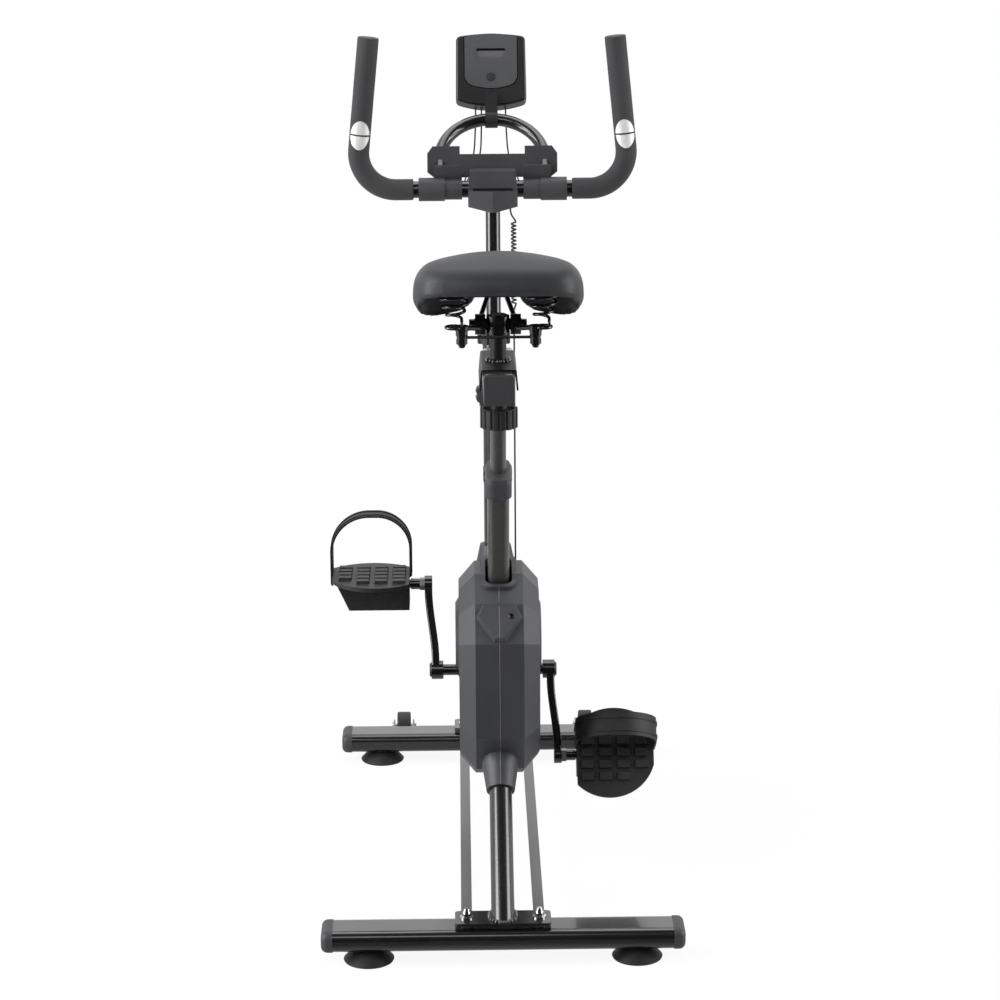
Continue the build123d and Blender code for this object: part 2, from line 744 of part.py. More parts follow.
# Two-part casing: a bevelled body with a beak below the seat tube and collars round the tubes
case_outline = [(196, 204), (150, 265), (150, 405), (188, 452), (236, 482), (305, 482), (590, 392),
                (640, 330), (640, 240), (590, 172), (300, 160)]
case_points = [(rear_y + u, z) for u, z in case_outline]
slope_low = Vector(0, *case_points[2])
slope_high = Vector(0, *case_points[3])
slope_dir = (slope_high - slope_low).normalized()
beak_plane = Plane(origin=slope_low + (slope_high - slope_low) * beak_share, x_dir=(1, 0, 0),
                   z_dir=Vector(0, -slope_dir.Z, slope_dir.Y))
screw_point = beak_plane.from_local_coords((screw_x, 0, beak_proud))
screw_plane = Plane(origin=screw_point, x_dir=(1, 0, 0), z_dir=beak_plane.z_dir)
with BuildPart() as casing:
    for inset, mode in ((0, Mode.ADD), (case_wall, Mode.SUBTRACT)):
        if mode == Mode.SUBTRACT:
            with BuildSketch(seat_plane.offset(collar_low)):
                RectangleRounded(72, collar_foot, 20)
            with BuildSketch(seat_plane.offset(collar_high)):
                RectangleRounded(50, collar_mouth, 16)
            loft()
            with BuildSketch(post_plane.offset(150)):
                Circle(40)
            extrude(amount=78, taper=12)
            with BuildSketch(leg_plane.offset(leg_length * 0.5)):
                Circle(20)
            extrude(amount=70, taper=-8)
        with BuildSketch(Plane.YZ.offset(-case_band)):
            with BuildLine():
                Polyline(*inset_outline(case_points, inset), close=True)
            make_face()
        extrude(amount=2 * case_band, mode=mode)
        for side in (-1, 1):
            with BuildSketch(Plane.YZ.offset(side * case_band)):
                with BuildLine():
                    Polyline(*inset_outline(case_points, inset), close=True)
                make_face()
            with BuildSketch(Plane.YZ.offset(side * (case_half - inset))):
                with BuildLine():
                    Polyline(*inset_outline(case_points, inset + case_bevel), close=True)
                make_face()
            loft(ruled=True, mode=mode)
    for side in (-1, 1):
        hub_plane = Plane(origin=(side * (case_half - case_wall), bracket_y + 30, bracket_z + 40),
                          x_dir=(0, 1, 0), z_dir=(side, 0, 0))
        with BuildSketch(hub_plane):
            Circle(64)
        extrude(amount=case_wall + 5, taper=60)
    with BuildSketch(seat_plane.offset(40)):
        RectangleRounded(seat_width + 8, seat_depth + 14, 12)
    extrude(amount=200, mode=Mode.SUBTRACT)
    with BuildSketch(seat_plane):
        RectangleRounded(seat_width + 8, seat_depth + 14, 12)
    extrude(amount=60, mode=Mode.SUBTRACT)
    with BuildSketch(post_plane):
        Circle(post_radius)
    extrude(amount=post_top, mode=Mode.SUBTRACT)
    with BuildSketch(leg_plane):
        Circle(leg_radius)
    extrude(amount=leg_length, mode=Mode.SUBTRACT)
    with BuildSketch(toe_plane):
        Circle(front_leg_radius)
    extrude(amount=toe_length, mode=Mode.SUBTRACT)
    with BuildSketch(beam_plane):
        RectangleRounded(beam_width, beam_height, 6)
    extrude(amount=beam_length, mode=Mode.SUBTRACT)
    with BuildSketch(Plane.YZ.offset(-case_half - 20)):
        with Locations((bracket_y, bracket_z)):
            Circle(axle_radius + 6)
    extrude(amount=2 * case_half + 40, mode=Mode.SUBTRACT)
    with BuildSketch(beak_plane):
        with BuildLine():
            Polyline((-beak_tip, -beak_drop), (beak_tip, -beak_drop), (beak_half, 0),
                     (beak_rim, beak_rise), (-beak_rim, beak_rise), (-beak_half, 0), close=True)
        make_face()
        fillet(vertices(), 4)
    extrude(amount=beak_proud, taper=beak_taper)
    with BuildSketch(screw_plane.offset(-screw_sink)):
        Circle(screw_head + slide_gap)
    extrude(amount=screw_sink + 2, mode=Mode.SUBTRACT)
    with BuildSketch(screw_plane.offset(-screw_sink)):
        Circle(screw_shank)
    extrude(amount=-screw_reach, mode=Mode.SUBTRACT)
print("casing solids", len(casing.part.solids()), [round(s.volume) for s in casing.part.solids()])

for half_name, side in (("casing_left", -1), ("casing_right", 1)):
    with BuildPart() as half:
        add(casing.part)
        with BuildSketch(Plane.YZ.offset(side * case_seam)):
            with Locations((0, bracket_z)):
                Rectangle(2 * wheel_base, 2 * wheel_base)
        extrude(amount=side * 2 * case_half, mode=Mode.INTERSECT)
    keep(half, half_name)

# Cross-head screw in the beak, beside the seam
with BuildPart() as casing_screw:
    with BuildSketch(screw_plane.offset(-screw_sink)):
        Circle(screw_head)
    extrude(amount=screw_sink + 1)
    fillet(faces().sort_by(Axis((0, 0, 0), screw_plane.z_dir))[-1].edges(), 1.5)
    with BuildSketch(screw_plane.offset(1)):
        Rectangle(4.6, 1.1)
        Rectangle(1.1, 4.6)
    extrude(amount=-1.4, mode=Mode.SUBTRACT)
    with BuildSketch(screw_plane.offset(-screw_sink)):
        Circle(screw_shank)
    extrude(amount=-screw_reach)
keep(casing_screw, "casing_screw")

# Moulded bushing in the mouth of the seat tube
lip_width = seat_width + 2 * bushing_lip
lip_depth = seat_depth + 2 * bushing_lip
with BuildPart() as seat_bushing:
    with BuildSketch(seat_plane.offset(seat_top - 70)):
        RectangleRounded(seat_width - 2 * seat_wall, seat_depth - 2 * seat_wall, seat_corner - seat_wall)
    extrude(amount=70)
    with BuildSketch(seat_plane.offset(seat_top - bushing_skirt)):
        RectangleRounded(lip_width, lip_depth, seat_corner + bushing_lip)
        RectangleRounded(seat_width, seat_depth, seat_corner, mode=Mode.SUBTRACT)
    extrude(amount=bushing_skirt)
    with BuildSketch(seat_plane.offset(seat_top)):
        RectangleRounded(lip_width, lip_depth, seat_corner + bushing_lip)
    extrude(amount=9, taper=14)
    with BuildSketch(seat_plane):
        Circle(seat_post_radius + run_fit)
    extrude(amount=seat_top + 20, mode=Mode.SUBTRACT)
    with BuildSketch(knob_plane):
        Circle(5 + run_fit)
    extrude(amount=seat_depth, mode=Mode.SUBTRACT)
keep(seat_bushing, "seat_bushing")

# Seat post with its square rail, slotted for the slider's stud
rail_foot = (rail_z - rail_size / 2 - bracket_z) / cos(radians(seat_lean))
with BuildPart() as seat_post:
    with BuildSketch(seat_plane.offset(rail_foot - seat_post_length)):
        Circle(seat_post_radius)
    extrude(amount=seat_post_length + 8)
    with BuildSketch(seat_plane.offset(rail_foot - seat_post_length)):
        Circle(seat_post_radius - 2)
    extrude(amount=seat_post_length - 20, mode=Mode.SUBTRACT)
    with BuildSketch(Plane.XZ.offset(-rail_front)):
        with Locations((0, rail_z)):
            RectangleRounded(rail_size, rail_size, rail_corner)
    extrude(amount=rail_front - rail_rear)
    with BuildSketch(Plane.XZ.offset(-rail_front)):
        with Locations((0, rail_z)):
            RectangleRounded(rail_size - 2 * rail_wall, rail_size - 2 * rail_wall, rail_corner - rail_wall)
    extrude(amount=rail_front - rail_rear, mode=Mode.SUBTRACT)
    with BuildSketch(Plane.XY.offset(rail_z - rail_size / 2 - 1)):
        with Locations((0, stud_y + (slide_ahead - slide_back) / 2)):
            RectangleRounded(2 * stud_radius + 1, slide_ahead + slide_back + 2 * stud_radius + 2,
                             stud_radius)
    extrude(amount=rail_size + 2, mode=Mode.SUBTRACT)
keep(seat_post, "seat_post")

with BuildPart() as rail_caps:
    for y, heading in ((rail_rear, 1), (rail_front, -1)):
        end_plane = Plane(origin=(0, y, rail_z), x_dir=(1, 0, 0), z_dir=(0, heading, 0))
        with BuildSketch(end_plane):
            RectangleRounded(rail_size - 2 * rail_wall, rail_size - 2 * rail_wall, rail_corner - rail_wall)
        extrude(amount=10)
        with BuildSketch(end_plane):
            RectangleRounded(rail_size, rail_size, rail_corner)
        extrude(amount=-5)
        fillet(faces(Select.LAST).sort_by(Axis.Y)[0 if heading > 0 else -1].edges(), 2)
keep(rail_caps, "rail_caps")

# Slider: a folded channel over the rail with the saddle post on top and a stud below
channel_in = rail_size / 2 + slide_gap
channel_z = rail_z + rail_size / 2 + slide_gap
post_height = clamp_z + 14 - channel_z
with BuildPart() as seat_slider:
    with BuildSketch(Plane.XZ.offset(-channel_front)):
        with BuildLine():
            flange_low = channel_z - channel_drop
            flange_in = channel_in + channel_splay
            flange_out = flange_in + channel_thick
            Polyline((-flange_out, flange_low), (-channel_in - channel_thick, channel_z + channel_thick),
                     (channel_in + channel_thick, channel_z + channel_thick), (flange_out, flange_low),
                     (flange_in, flange_low), (channel_in, channel_z), (-channel_in, channel_z),
                     (-flange_in, flange_low), close=True)
        make_face()
    extrude(amount=channel_front - channel_rear)
    fillet(edges().filter_by(Axis.Y).sort_by(Axis.Z)[-2:], 2.5)
    with BuildSketch(Plane.XY.offset(channel_z)):
        with Locations((0, saddle_y)):
            Circle(saddle_post)
    extrude(amount=post_height)
    with BuildSketch(Plane.XY.offset(channel_z + channel_thick)):
        with Locations((0, saddle_y)):
            Circle(saddle_post + 4)
    extrude(amount=5, taper=38)
    with BuildSketch(Plane.XY.offset(channel_z)):
        with Locations((0, stud_y)):
            Circle(stud_radius)
    extrude(amount=-(rail_size + 30))
keep(seat_slider, "seat_slider")

# Round knob below the rail: a ribbed cup, open upwards, on a hub
hub_top = rail_z - rail_size / 2 - slide_gap
knob_z = hub_top - knob_drop
with BuildPart() as slider_knob:
    with BuildSketch(Plane.XY.offset(knob_z)):
        with Locations((0, stud_y)):
            Circle(knob_radius)
    extrude(amount=knob_height)
    with BuildSketch(Plane.XY.offset(knob_z)):
        with Locations((0, stud_y)):
            with PolarLocations(knob_radius + 0.8, knob_flutes):
                Circle(2.4)
    extrude(amount=knob_height, mode=Mode.SUBTRACT)
    with BuildSketch(Plane.XY.offset(knob_z + 6)):
        with Locations((0, stud_y)):
            Circle(knob_radius - 4.5)
    extrude(amount=knob_height, mode=Mode.SUBTRACT)
    with BuildSketch(Plane.XY.offset(knob_z)):
        with Locations((0, stud_y)):
            Circle(11)
    extrude(amount=hub_top - knob_z)
    with BuildSketch(Plane.XY.offset(knob_z + 2)):
        with Locations((0, stud_y)):
            Circle(stud_radius + run_fit)
    extrude(amount=rail_size, mode=Mode.SUBTRACT)
keep(slider_knob, "slider_knob")

# Clamp knob at the front of the seat tube
with BuildPart() as height_knob:
    knob_start = seat_post_radius + slide_gap
    with BuildSketch(knob_plane.offset(knob_start)):
        Circle(5)
    extrude(amount=seat_depth / 2 + 26 - knob_start)
    with BuildSketch(knob_plane.offset(seat_depth / 2 + 12 + slide_gap)):
        Circle(11)
    extrude(amount=10, taper=-14)
    with BuildSketch(knob_plane.offset(seat_depth / 2 + 22)):
        Circle(21)
        with PolarLocations(24, 8):
            Circle(6, mode=Mode.SUBTRACT)
    extrude(amount=20)
keep(height_knob, "height_knob")

# Saddle clamp on the post: a ring with cheeks that hold the two wires
with BuildPart() as saddle_clamp:
    with BuildSketch(Plane.XY.offset(clamp_z - 12)):
        with Locations((0, saddle_y)):
            Circle(saddle_post + 4.5)
    extrude(amount=24)
    with BuildSketch(Plane.YZ.offset(-clamp_x - 8)):
        with Locations((saddle_y, clamp_z)):
            Circle(8)
    extrude(amount=2 * clamp_x + 16)
    for side in (-1, 1):
        cheek = Plane(origin=(side * (clamp_x - 7), saddle_y, clamp_z), x_dir=(0, 1, 0), z_dir=(side, 0, 0))
        with BuildSketch(cheek):
            Circle(14)
        extrude(amount=14)
        with BuildSketch(cheek.offset(14)):
            RegularPolygon(7.5, 6)
        extrude(amount=8)
    with BuildSketch(Plane.XY.offset(channel_z)):
        with Locations((0, saddle_y)):
            Circle(saddle_post)
    extrude(amount=post_height, mode=Mode.SUBTRACT)
    with BuildSketch(Plane.XZ.offset(-saddle_y - 30)):
        with Locations((-clamp_x, clamp_z), (clamp_x, clamp_z)):
            Circle(rail_wire)
    extrude(amount=60, mode=Mode.SUBTRACT)
keep(saddle_clamp, "saddle_clamp")

# Saddle wires: from the nose through the clamp to a tab and a round seat below each spring, and a cross wire
eye_z = spring_z - 2 * rail_wire - nut_thick - eye_thick / 2
with BuildPart() as saddle_rails:
    for side in (-1, 1):
        with BuildLine() as wire_path:
            FilletPolyline((side * 11, nose_y, pan_z), (side * 13, nose_y - 10, clamp_z + 24),
                           (side * clamp_x, nose_y - 44, clamp_z), (side * clamp_x, rear_y + 112, clamp_z),
                           (side * nut_x, spring_y + 4, spring_z - rail_wire), radius=[16, 24, 20])
        with BuildSketch(Plane(origin=wire_path.line @ 0, z_dir=wire_path.line % 0)):
            Circle(rail_wire)
        sweep(path=wire_path.line)
        with BuildSketch(Plane.XY.offset(spring_z - 2 * rail_wire)):
            with Locations((side * nut_x, spring_y)):
                Circle(9)
        extrude(amount=2 * rail_wire)
        with Locations((side * seat_ring_x, spring_y, spring_z - spring_wire)):
            Torus(seat_ring, spring_wire)
        with BuildSketch(Plane.XY.offset(eye_z - eye_thick / 2)):
            with Locations((side * nut_x, spring_y)):
                Circle(7)
        extrude(amount=eye_thick)
    with BuildSketch(Plane.YZ.offset(-nut_x)):
        with Locations((spring_y, eye_z)):
            Circle(eye_thick / 2)
    extrude(amount=2 * nut_x)
    with BuildSketch(Plane.XY.offset(pan_z)):
        with Locations((0, nose_y)):
            Rectangle(60, 60)
    extrude(amount=20, mode=Mode.SUBTRACT)
    with BuildSketch(Plane.XY.offset(eye_z - eye_thick)):
        with Locations((-nut_x, spring_y), (nut_x, spring_y)):
            Circle(4)
    extrude(amount=pan_z - eye_z, mode=Mode.SUBTRACT)
    with BuildSketch(Plane.XY.offset(eye_z + eye_thick / 2)):
        with Locations((-nut_x, spring_y), (nut_x, spring_y)):
            Circle(8.3)
    extrude(amount=nut_thick, mode=Mode.SUBTRACT)
keep(saddle_rails, "saddle_rails")

# Bolts with stacked nuts at the tabs, a domed end below
with BuildPart() as saddle_bolts:
    stack_low = eye_z - eye_thick / 2 - nut_thick
    for side in (-1, 1):
        with BuildSketch(Plane.XY.offset(stack_low)):
            with Locations((side * nut_x, spring_y)):
                Circle(4)
        extrude(amount=spring_z - stack_low)
        for nut_low, nut_size in ((eye_z + eye_thick / 2, 8), (stack_low, 7.5)):
            with BuildSketch(Plane.XY.offset(nut_low)):
                with Locations((side * nut_x, spring_y)):
                    RegularPolygon(nut_size, 6)
            extrude(amount=nut_thick)
        with BuildSketch(Plane.XY.offset(stack_low)):
            with Locations((side * nut_x, spring_y)):
                Circle(6)
        extrude(amount=-5, taper=28)
keep(saddle_bolts, "saddle_bolts")

# Saddle springs: one unbroken wire each, narrow below and wide at the pan
with BuildPart() as saddle_springs:
    for side in (-1, 1):
        coil_low = spring_z + 9
        coil_high = pan_z - 9
        steps = 2 * spring_turns
        with BuildLine() as coil:
            place = Vector(side * spring_x, spring_y, 0)
            marks = []
            for step in range(steps + 1):
                share = step / steps
                turn = pi * step
                wide = spring_narrow + (spring_wide - spring_narrow) * share
                swing = (spring_wide - spring_narrow) / (pi * steps)
                climb = (coil_high - coil_low) / (pi * steps)
                point = place + Vector(wide * cos(turn), wide * sin(turn), coil_low + climb * turn)
                heading = Vector(swing * cos(turn) - wide * sin(turn),
                                 swing * sin(turn) + wide * cos(turn), climb)
                marks.append((point, heading.normalized()))
            first = Vector(marks[0][0].X, marks[0][0].Y - 7, spring_z)
            lift = Vector(0, 0, 2 * spring_wire)
            up_dir = Vector(0, 0, 1)
            Line(first, first + lift)
            biarc(first + lift, up_dir, *marks[0])
            for start, end in zip(marks[:-1], marks[1:]):
                biarc(*start, *end)
            last = Vector(marks[-1][0].X, marks[-1][0].Y + 8, pan_z)
            biarc(*marks[-1], last - lift, up_dir)
            Line(last - lift, last)
        with BuildSketch(Plane(origin=first, x_dir=(1, 0, 0), z_dir=up_dir)):
            Circle(spring_wire)
        sweep(path=coil.line)
        print("spring least gap", round(self_gap(Wire(coil.line.edges()), spring_wire, 90, 640), 2))
keep(saddle_springs, "saddle_springs")

# Saddle shell plate: the same outline carries the padded top
saddle_sections = [(3, 46, 927, 946), (14, 84, 921, 957), (34, 105, 912, 964), (72, 114.5, 897, 967),
                   (112, 110, 876, 963), (140, 93, 868, 958), (165, 66, 867, 953), (190, 46, 873, 948),
                   (235, 32, 887, 940), (276, 20, 900, 929)]
pan_half = [(20, 72)] + [(u, w - skirt) for u, w, low, top in saddle_sections[2:-1]]
with BuildPart() as saddle_pan:
    with BuildSketch(Plane.XY.offset(pan_z)):
        with BuildLine():
            right_side = Polyline(*[(w, rear_y + u) for u, w in pan_half])
            left_side = Polyline(*[(-w, rear_y + u) for u, w in pan_half])
            Line(right_side @ 0, left_side @ 0)
            Line(right_side @ 1, left_side @ 1)
        make_face()
    extrude(amount=pan_thick)
keep(saddle_pan, "saddle_pan")

# Padded saddle: crowned top, sides drawn in, hollow below for the plate
with BuildPart() as saddle_cover:
    for u, w, low, top in saddle_sections:
        with BuildSketch(Plane.XZ.offset(-(rear_y + u))):
            with BuildLine():
                side_low = (w - 5, low)
                side_mid = (w, low + (top - low) * 0.42)
                side_top = (w * 0.86, low + (top - low) * 0.82)
                Line((-side_low[0], low), side_low)
                ThreePointArc(side_low, side_mid, side_top)
                ThreePointArc(side_top, (0, top), (-side_top[0], side_top[1]))
                ThreePointArc((-side_top[0], side_top[1]), (-side_mid[0], side_mid[1]), (-side_low[0], low))
            make_face()
    loft()
    with BuildSketch(Plane.XY.offset(pan_z + pan_thick)):
        with BuildLine():
            right_side = Polyline(*[(w, rear_y + u) for u, w in pan_half])
            left_side = Polyline(*[(-w, rear_y + u) for u, w in pan_half])
            Line(right_side @ 0, left_side @ 0)
            Line(right_side @ 1, left_side @ 1)
        make_face()
    extrude(amount=-90, mode=Mode.SUBTRACT)
keep(saddle_cover, "saddle_cover")

# Bushing and twist collar at the top of the front tube
with BuildPart() as stem_bushing:
    with BuildSketch(post_plane.offset(post_top - 60)):
        Circle(post_radius - post_wall)
    extrude(amount=60)
    with BuildSketch(post_plane.offset(post_top)):
        Circle(post_radius)
    extrude(amount=3)
    with BuildSketch(post_plane):
        Circle(stem_radius + run_fit)
    extrude(amount=post_top + 20, mode=Mode.SUBTRACT)
keep(stem_bushing, "stem_bushing")

with BuildPart() as stem_collar:
    with BuildSketch(post_plane.offset(post_top - 14)):
        Circle(25)
        with PolarLocations(26.5, 10):
            Circle(3.5, mode=Mode.SUBTRACT)
    extrude(amount=18)
    with BuildSketch(post_plane.offset(post_top + 4)):
        Circle(23)
    extrude(amount=12, taper=28)
    with BuildSketch(post_plane.offset(post_top - 20)):
        Circle(post_radius + slide_gap)
    extrude(amount=20 + 3 + slide_gap, mode=Mode.SUBTRACT)
    with BuildSketch(post_plane):
        Circle(stem_radius + slide_gap)
    extrude(amount=post_top + 40, mode=Mode.SUBTRACT)
keep(stem_collar, "stem_collar")

# Tension control on the front tube, facing the rider
dial_point = post_plane.from_local_coords((0, 0, 466))
dial_plane = Plane(origin=dial_point, x_dir=(1, 0, 0), z_dir=-post_plane.y_dir)
with BuildPart() as tension_base:
    with BuildSketch(dial_plane):
        Circle(15)
    extrude(amount=post_radius + 10)
    with BuildSketch(post_plane):
        Circle(post_radius)
    extrude(amount=post_top, mode=Mode.SUBTRACT)
keep(tension_base, "tension_base")

with BuildPart() as tension_knob:
    with BuildSketch(dial_plane.offset(post_radius + 10 + slide_gap)):
        Circle(29)
        with PolarLocations(31, 12):
            Circle(4, mode=Mode.SUBTRACT)
    extrude(amount=17, taper=4)
    with BuildSketch(dial_plane.offset(post_radius + 10 + slide_gap + 17)):
        Circle(16)
    extrude(amount=5, taper=20)
keep(tension_knob, "tension_knob")

# Stem with a clamp ring for the bar
bar_axis_plane = Plane.YZ.offset(-ring_half)
with BuildPart() as stem:
    with BuildSketch(post_plane.offset(post_top - 190)):
        Circle(stem_radius)
    extrude(amount=stem_gap - post_top + 190)
    with BuildSketch(bar_axis_plane):
        with Locations((bar_y, bar_z)):
            Circle(ring_radius)
    extrude(amount=2 * ring_half)
    with BuildSketch(bar_axis_plane):
        with Locations((bar_y, bar_z)):
            Circle(tube_radius + run_fit)
    extrude(amount=2 * ring_half, mode=Mode.SUBTRACT)
keep(stem, "stem")

# Moulded cover over the clamp: a ridged shield below a flat cap
with BuildPart() as clamp_cover:
    with BuildSketch(Plane.XY.offset(bar_z - 31)):
        with BuildLine():
            Polyline((-cover_half, bar_y + 17), (-cover_half, bar_y - 18), (0, bar_y - 31),
                     (cover_half, bar_y - 18), (cover_half, bar_y + 17), close=True)
        make_face()
    extrude(amount=31)
    with BuildSketch(Plane.XY.offset(bar_z)):
        with BuildLine():
            Polyline((-cover_half, bar_y + 17), (-cover_half, bar_y - 18), (cover_half, bar_y - 18),
                     (cover_half, bar_y + 17), close=True)
        make_face()
    extrude(amount=29, taper=6)
    with BuildSketch(Plane.XZ.offset(-bar_y - 60)):
        with BuildLine():
            Polyline((-cover_half - 1, bar_z - 40), (-cover_half - 1, bar_z - 24), (0, bar_z - 32),
                     (cover_half + 1, bar_z - 24), (cover_half + 1, bar_z - 40), close=True)
        make_face()
    extrude(amount=120, mode=Mode.SUBTRACT)
    with BuildSketch(Plane.YZ.offset(-cover_half)):
        with Locations((bar_y, bar_z)):
            Circle(tube_radius + 1.2)
    extrude(amount=2 * cover_half, mode=Mode.SUBTRACT)
    with BuildSketch(bar_axis_plane):
        with Locations((bar_y, bar_z)):
            Circle(ring_radius)
    extrude(amount=2 * ring_half, mode=Mode.SUBTRACT)
    with BuildSketch(post_plane.offset(stem_gap - 60)):
        Circle(stem_radius)
    extrude(amount=60, mode=Mode.SUBTRACT)
keep(clamp_cover, "clamp_cover")

# Handlebar: one bent tube
bar_points = [(-bar_half + bar_tuck, bar_y, bar_z + bar_rise), (-bar_half, bar_y, bar_z),
              (bar_half, bar_y, bar_z), (bar_half - bar_tuck, bar_y, bar_z + bar_rise)]
with BuildPart() as handlebar:
    with BuildLine() as bar_path:
        FilletPolyline(*bar_points, radius=bar_bend)
    with BuildSketch(Plane(origin=bar_path.line @ 0, x_dir=(0, 1, 0), z_dir=bar_path.line % 0)):
        Circle(tube_radius)
        Circle(tube_radius - 1.8, mode=Mode.SUBTRACT)
    sweep(path=bar_path.line)
keep(handlebar, "handlebar")

# Foam grips over both ends of the bar
with BuildPart() as grips:
    for side in (-1, 1):
        with BuildLine() as grip_path:
            FilletPolyline((side * (bar_half - bar_tuck), bar_y, bar_z + bar_rise),
                           (side * bar_half, bar_y, bar_z), (side * grip_end, bar_y, bar_z), radius=bar_bend)
        with BuildSketch(Plane(origin=grip_path.line @ 0, x_dir=(0, 1, 0), z_dir=grip_path.line % 0)):
            Circle(grip_radius)
            Circle(tube_radius, mode=Mode.SUBTRACT)
        sweep(path=grip_path.line)
        lid_plane = Plane(origin=grip_path.line @ 0, x_dir=(0, 1, 0), z_dir=grip_path.line % 0)
        with BuildSketch(lid_plane):
            Circle(grip_radius)
        extrude(amount=-3)
keep(grips, "grips")

# Hand pulse pads: an oval of thin metal on the rear of each grip, parted by a slit
pad_shells = []
for side in (-1, 1):
    slope = Vector(-side * bar_tuck, 0, bar_rise).normalized()
    pad_middle = Vector(side * bar_half, bar_y, bar_z) + slope * pad_place
    with BuildPart() as pad:
        with BuildSketch(Plane(origin=pad_middle - slope * pad_half, x_dir=(0, 1, 0), z_dir=slope)):
            Circle(grip_radius + pad_thick)
            Circle(grip_radius, mode=Mode.SUBTRACT)
        extrude(amount=2 * pad_half)
        with BuildSketch(Plane(origin=pad_middle, x_dir=Vector(slope.Z, 0, -slope.X), z_dir=(0, -1, 0))):
            Ellipse(pad_side, pad_half)
            Rectangle(4 * pad_side, pad_slit, mode=Mode.SUBTRACT)
        extrude(amount=2 * grip_radius, mode=Mode.INTERSECT)
    pad_shells.append(pad.part)
with BuildPart() as pulse_pads:
    add(pad_shells)
keep(pulse_pads, "pulse_pads")

# Console loop: an arched tube on the bar
loop_dir = Vector(0, sin(radians(loop_lean)), cos(radians(loop_lean)))
bar_point = Vector(0, bar_y, bar_z)
loop_top = bar_point + loop_dir * loop_reach
with BuildPart() as console_loop:
    leg_run = loop_reach - loop_x
    with BuildLine() as loop_path:
        left_foot = bar_point + Vector(-loop_x, 0, 0)
        right_foot = bar_point + Vector(loop_x, 0, 0)
        Line(left_foot, left_foot + loop_dir * leg_run)
        ThreePointArc(left_foot + loop_dir * leg_run, loop_top, right_foot + loop_dir * leg_run)
        Line(right_foot + loop_dir * leg_run, right_foot)
    with BuildSketch(Plane(origin=left_foot, x_dir=(1, 0, 0), z_dir=loop_dir)):
        Circle(loop_radius)
    sweep(path=loop_path.line)
    with BuildSketch(Plane.YZ.offset(-bar_half)):
        with Locations((bar_y, bar_z)):
            Circle(tube_radius)
    extrude(amount=2 * bar_half, mode=Mode.SUBTRACT)
keep(console_loop, "console_loop")

# Device tray: sleeves on the bar, a stepped back panel, a floor and two lips
with BuildPart() as tray:
    for side in (-1, 1):
        for near, far, size in ((tray_near, tray_step, sleeve_small), (tray_step, tray_far, sleeve_large)):
            with BuildSketch(Plane.YZ.offset(near if side > 0 else -far)):
                with Locations((bar_y, bar_z)):
                    Circle(size)
            extrude(amount=far - near)
        with BuildSketch(Plane.YZ.offset(tray_near if side > 0 else -lip_far)):
            with BuildLine():
                Polyline((bar_y + 2, tray_low), (bar_y - 1, tray_low + 22), (bar_y + 2, tray_low + 22),
                         (bar_y + 5, tray_low + 4), (bar_y + 28, tray_low + 4), (bar_y + 28, tray_low),
                         close=True)
            make_face()
        extrude(amount=lip_far - tray_near)
    panel_plane = Plane(origin=(0, bar_y + 26, tray_low), x_dir=(1, 0, 0),
                        z_dir=(0, -cos(radians(panel_lean)), sin(radians(panel_lean))))
    with BuildSketch(panel_plane):
        with BuildLine():
            Polyline((-panel_half, 8), (-panel_half, 36), (8 - panel_half, 47), (-panel_notch, 47),
                     (-panel_notch, 35), (panel_notch, 35), (panel_notch, 47), (panel_half - 8, 47),
                     (panel_half, 36), (panel_half, 8), (lip_far, 0), (-lip_far, 0), close=True)
        make_face()
    extrude(amount=-3)
    with BuildSketch(Plane.YZ.offset(-bar_half)):
        with Locations((bar_y, bar_z)):
            Circle(tube_radius)
    extrude(amount=2 * bar_half, mode=Mode.SUBTRACT)
    for side in (-1, 1):
        loop_foot = bar_point + Vector(side * loop_x, 0, 0)
        with BuildSketch(Plane(origin=loop_foot, x_dir=(1, 0, 0), z_dir=loop_dir)):
            Circle(loop_radius)
        extrude(amount=loop_reach, mode=Mode.SUBTRACT)
keep(tray, "tray")

# Console on a clamp at the top of the loop
face_up = Vector(0, sin(radians(console_lean)), cos(radians(console_lean)))
face_out = Vector(0, -cos(radians(console_lean)), sin(radians(console_lean)))
console_foot = loop_top + Vector(0, 8, 19)
console_plane = Plane(origin=console_foot, x_dir=(1, 0, 0), z_dir=face_out)
console_half = console_width / 2


# The face plate's outline, let out by an amount, its top edge by another
def face_outline(grow, reach):
    wide = face_half + grow
    shoulder = console_height - 6 + reach
    with BuildSketch() as outline:
        with BuildLine():
            Line((-wide, 50), (-wide, shoulder))
            ThreePointArc((-wide, shoulder), (0, shoulder + 5), (wide, shoulder))
            Line((wide, shoulder), (wide, 50))
            ThreePointArc((wide, 50), (wide - 4, 38 - grow), (wide - 14, 32 - grow))
            ThreePointArc((wide - 14, 32 - grow), (0, 28 - grow), (14 - wide, 32 - grow))
            ThreePointArc((14 - wide, 32 - grow), (4 - wide, 38 - grow), (-wide, 50))
        make_face()
    return outline.sketch


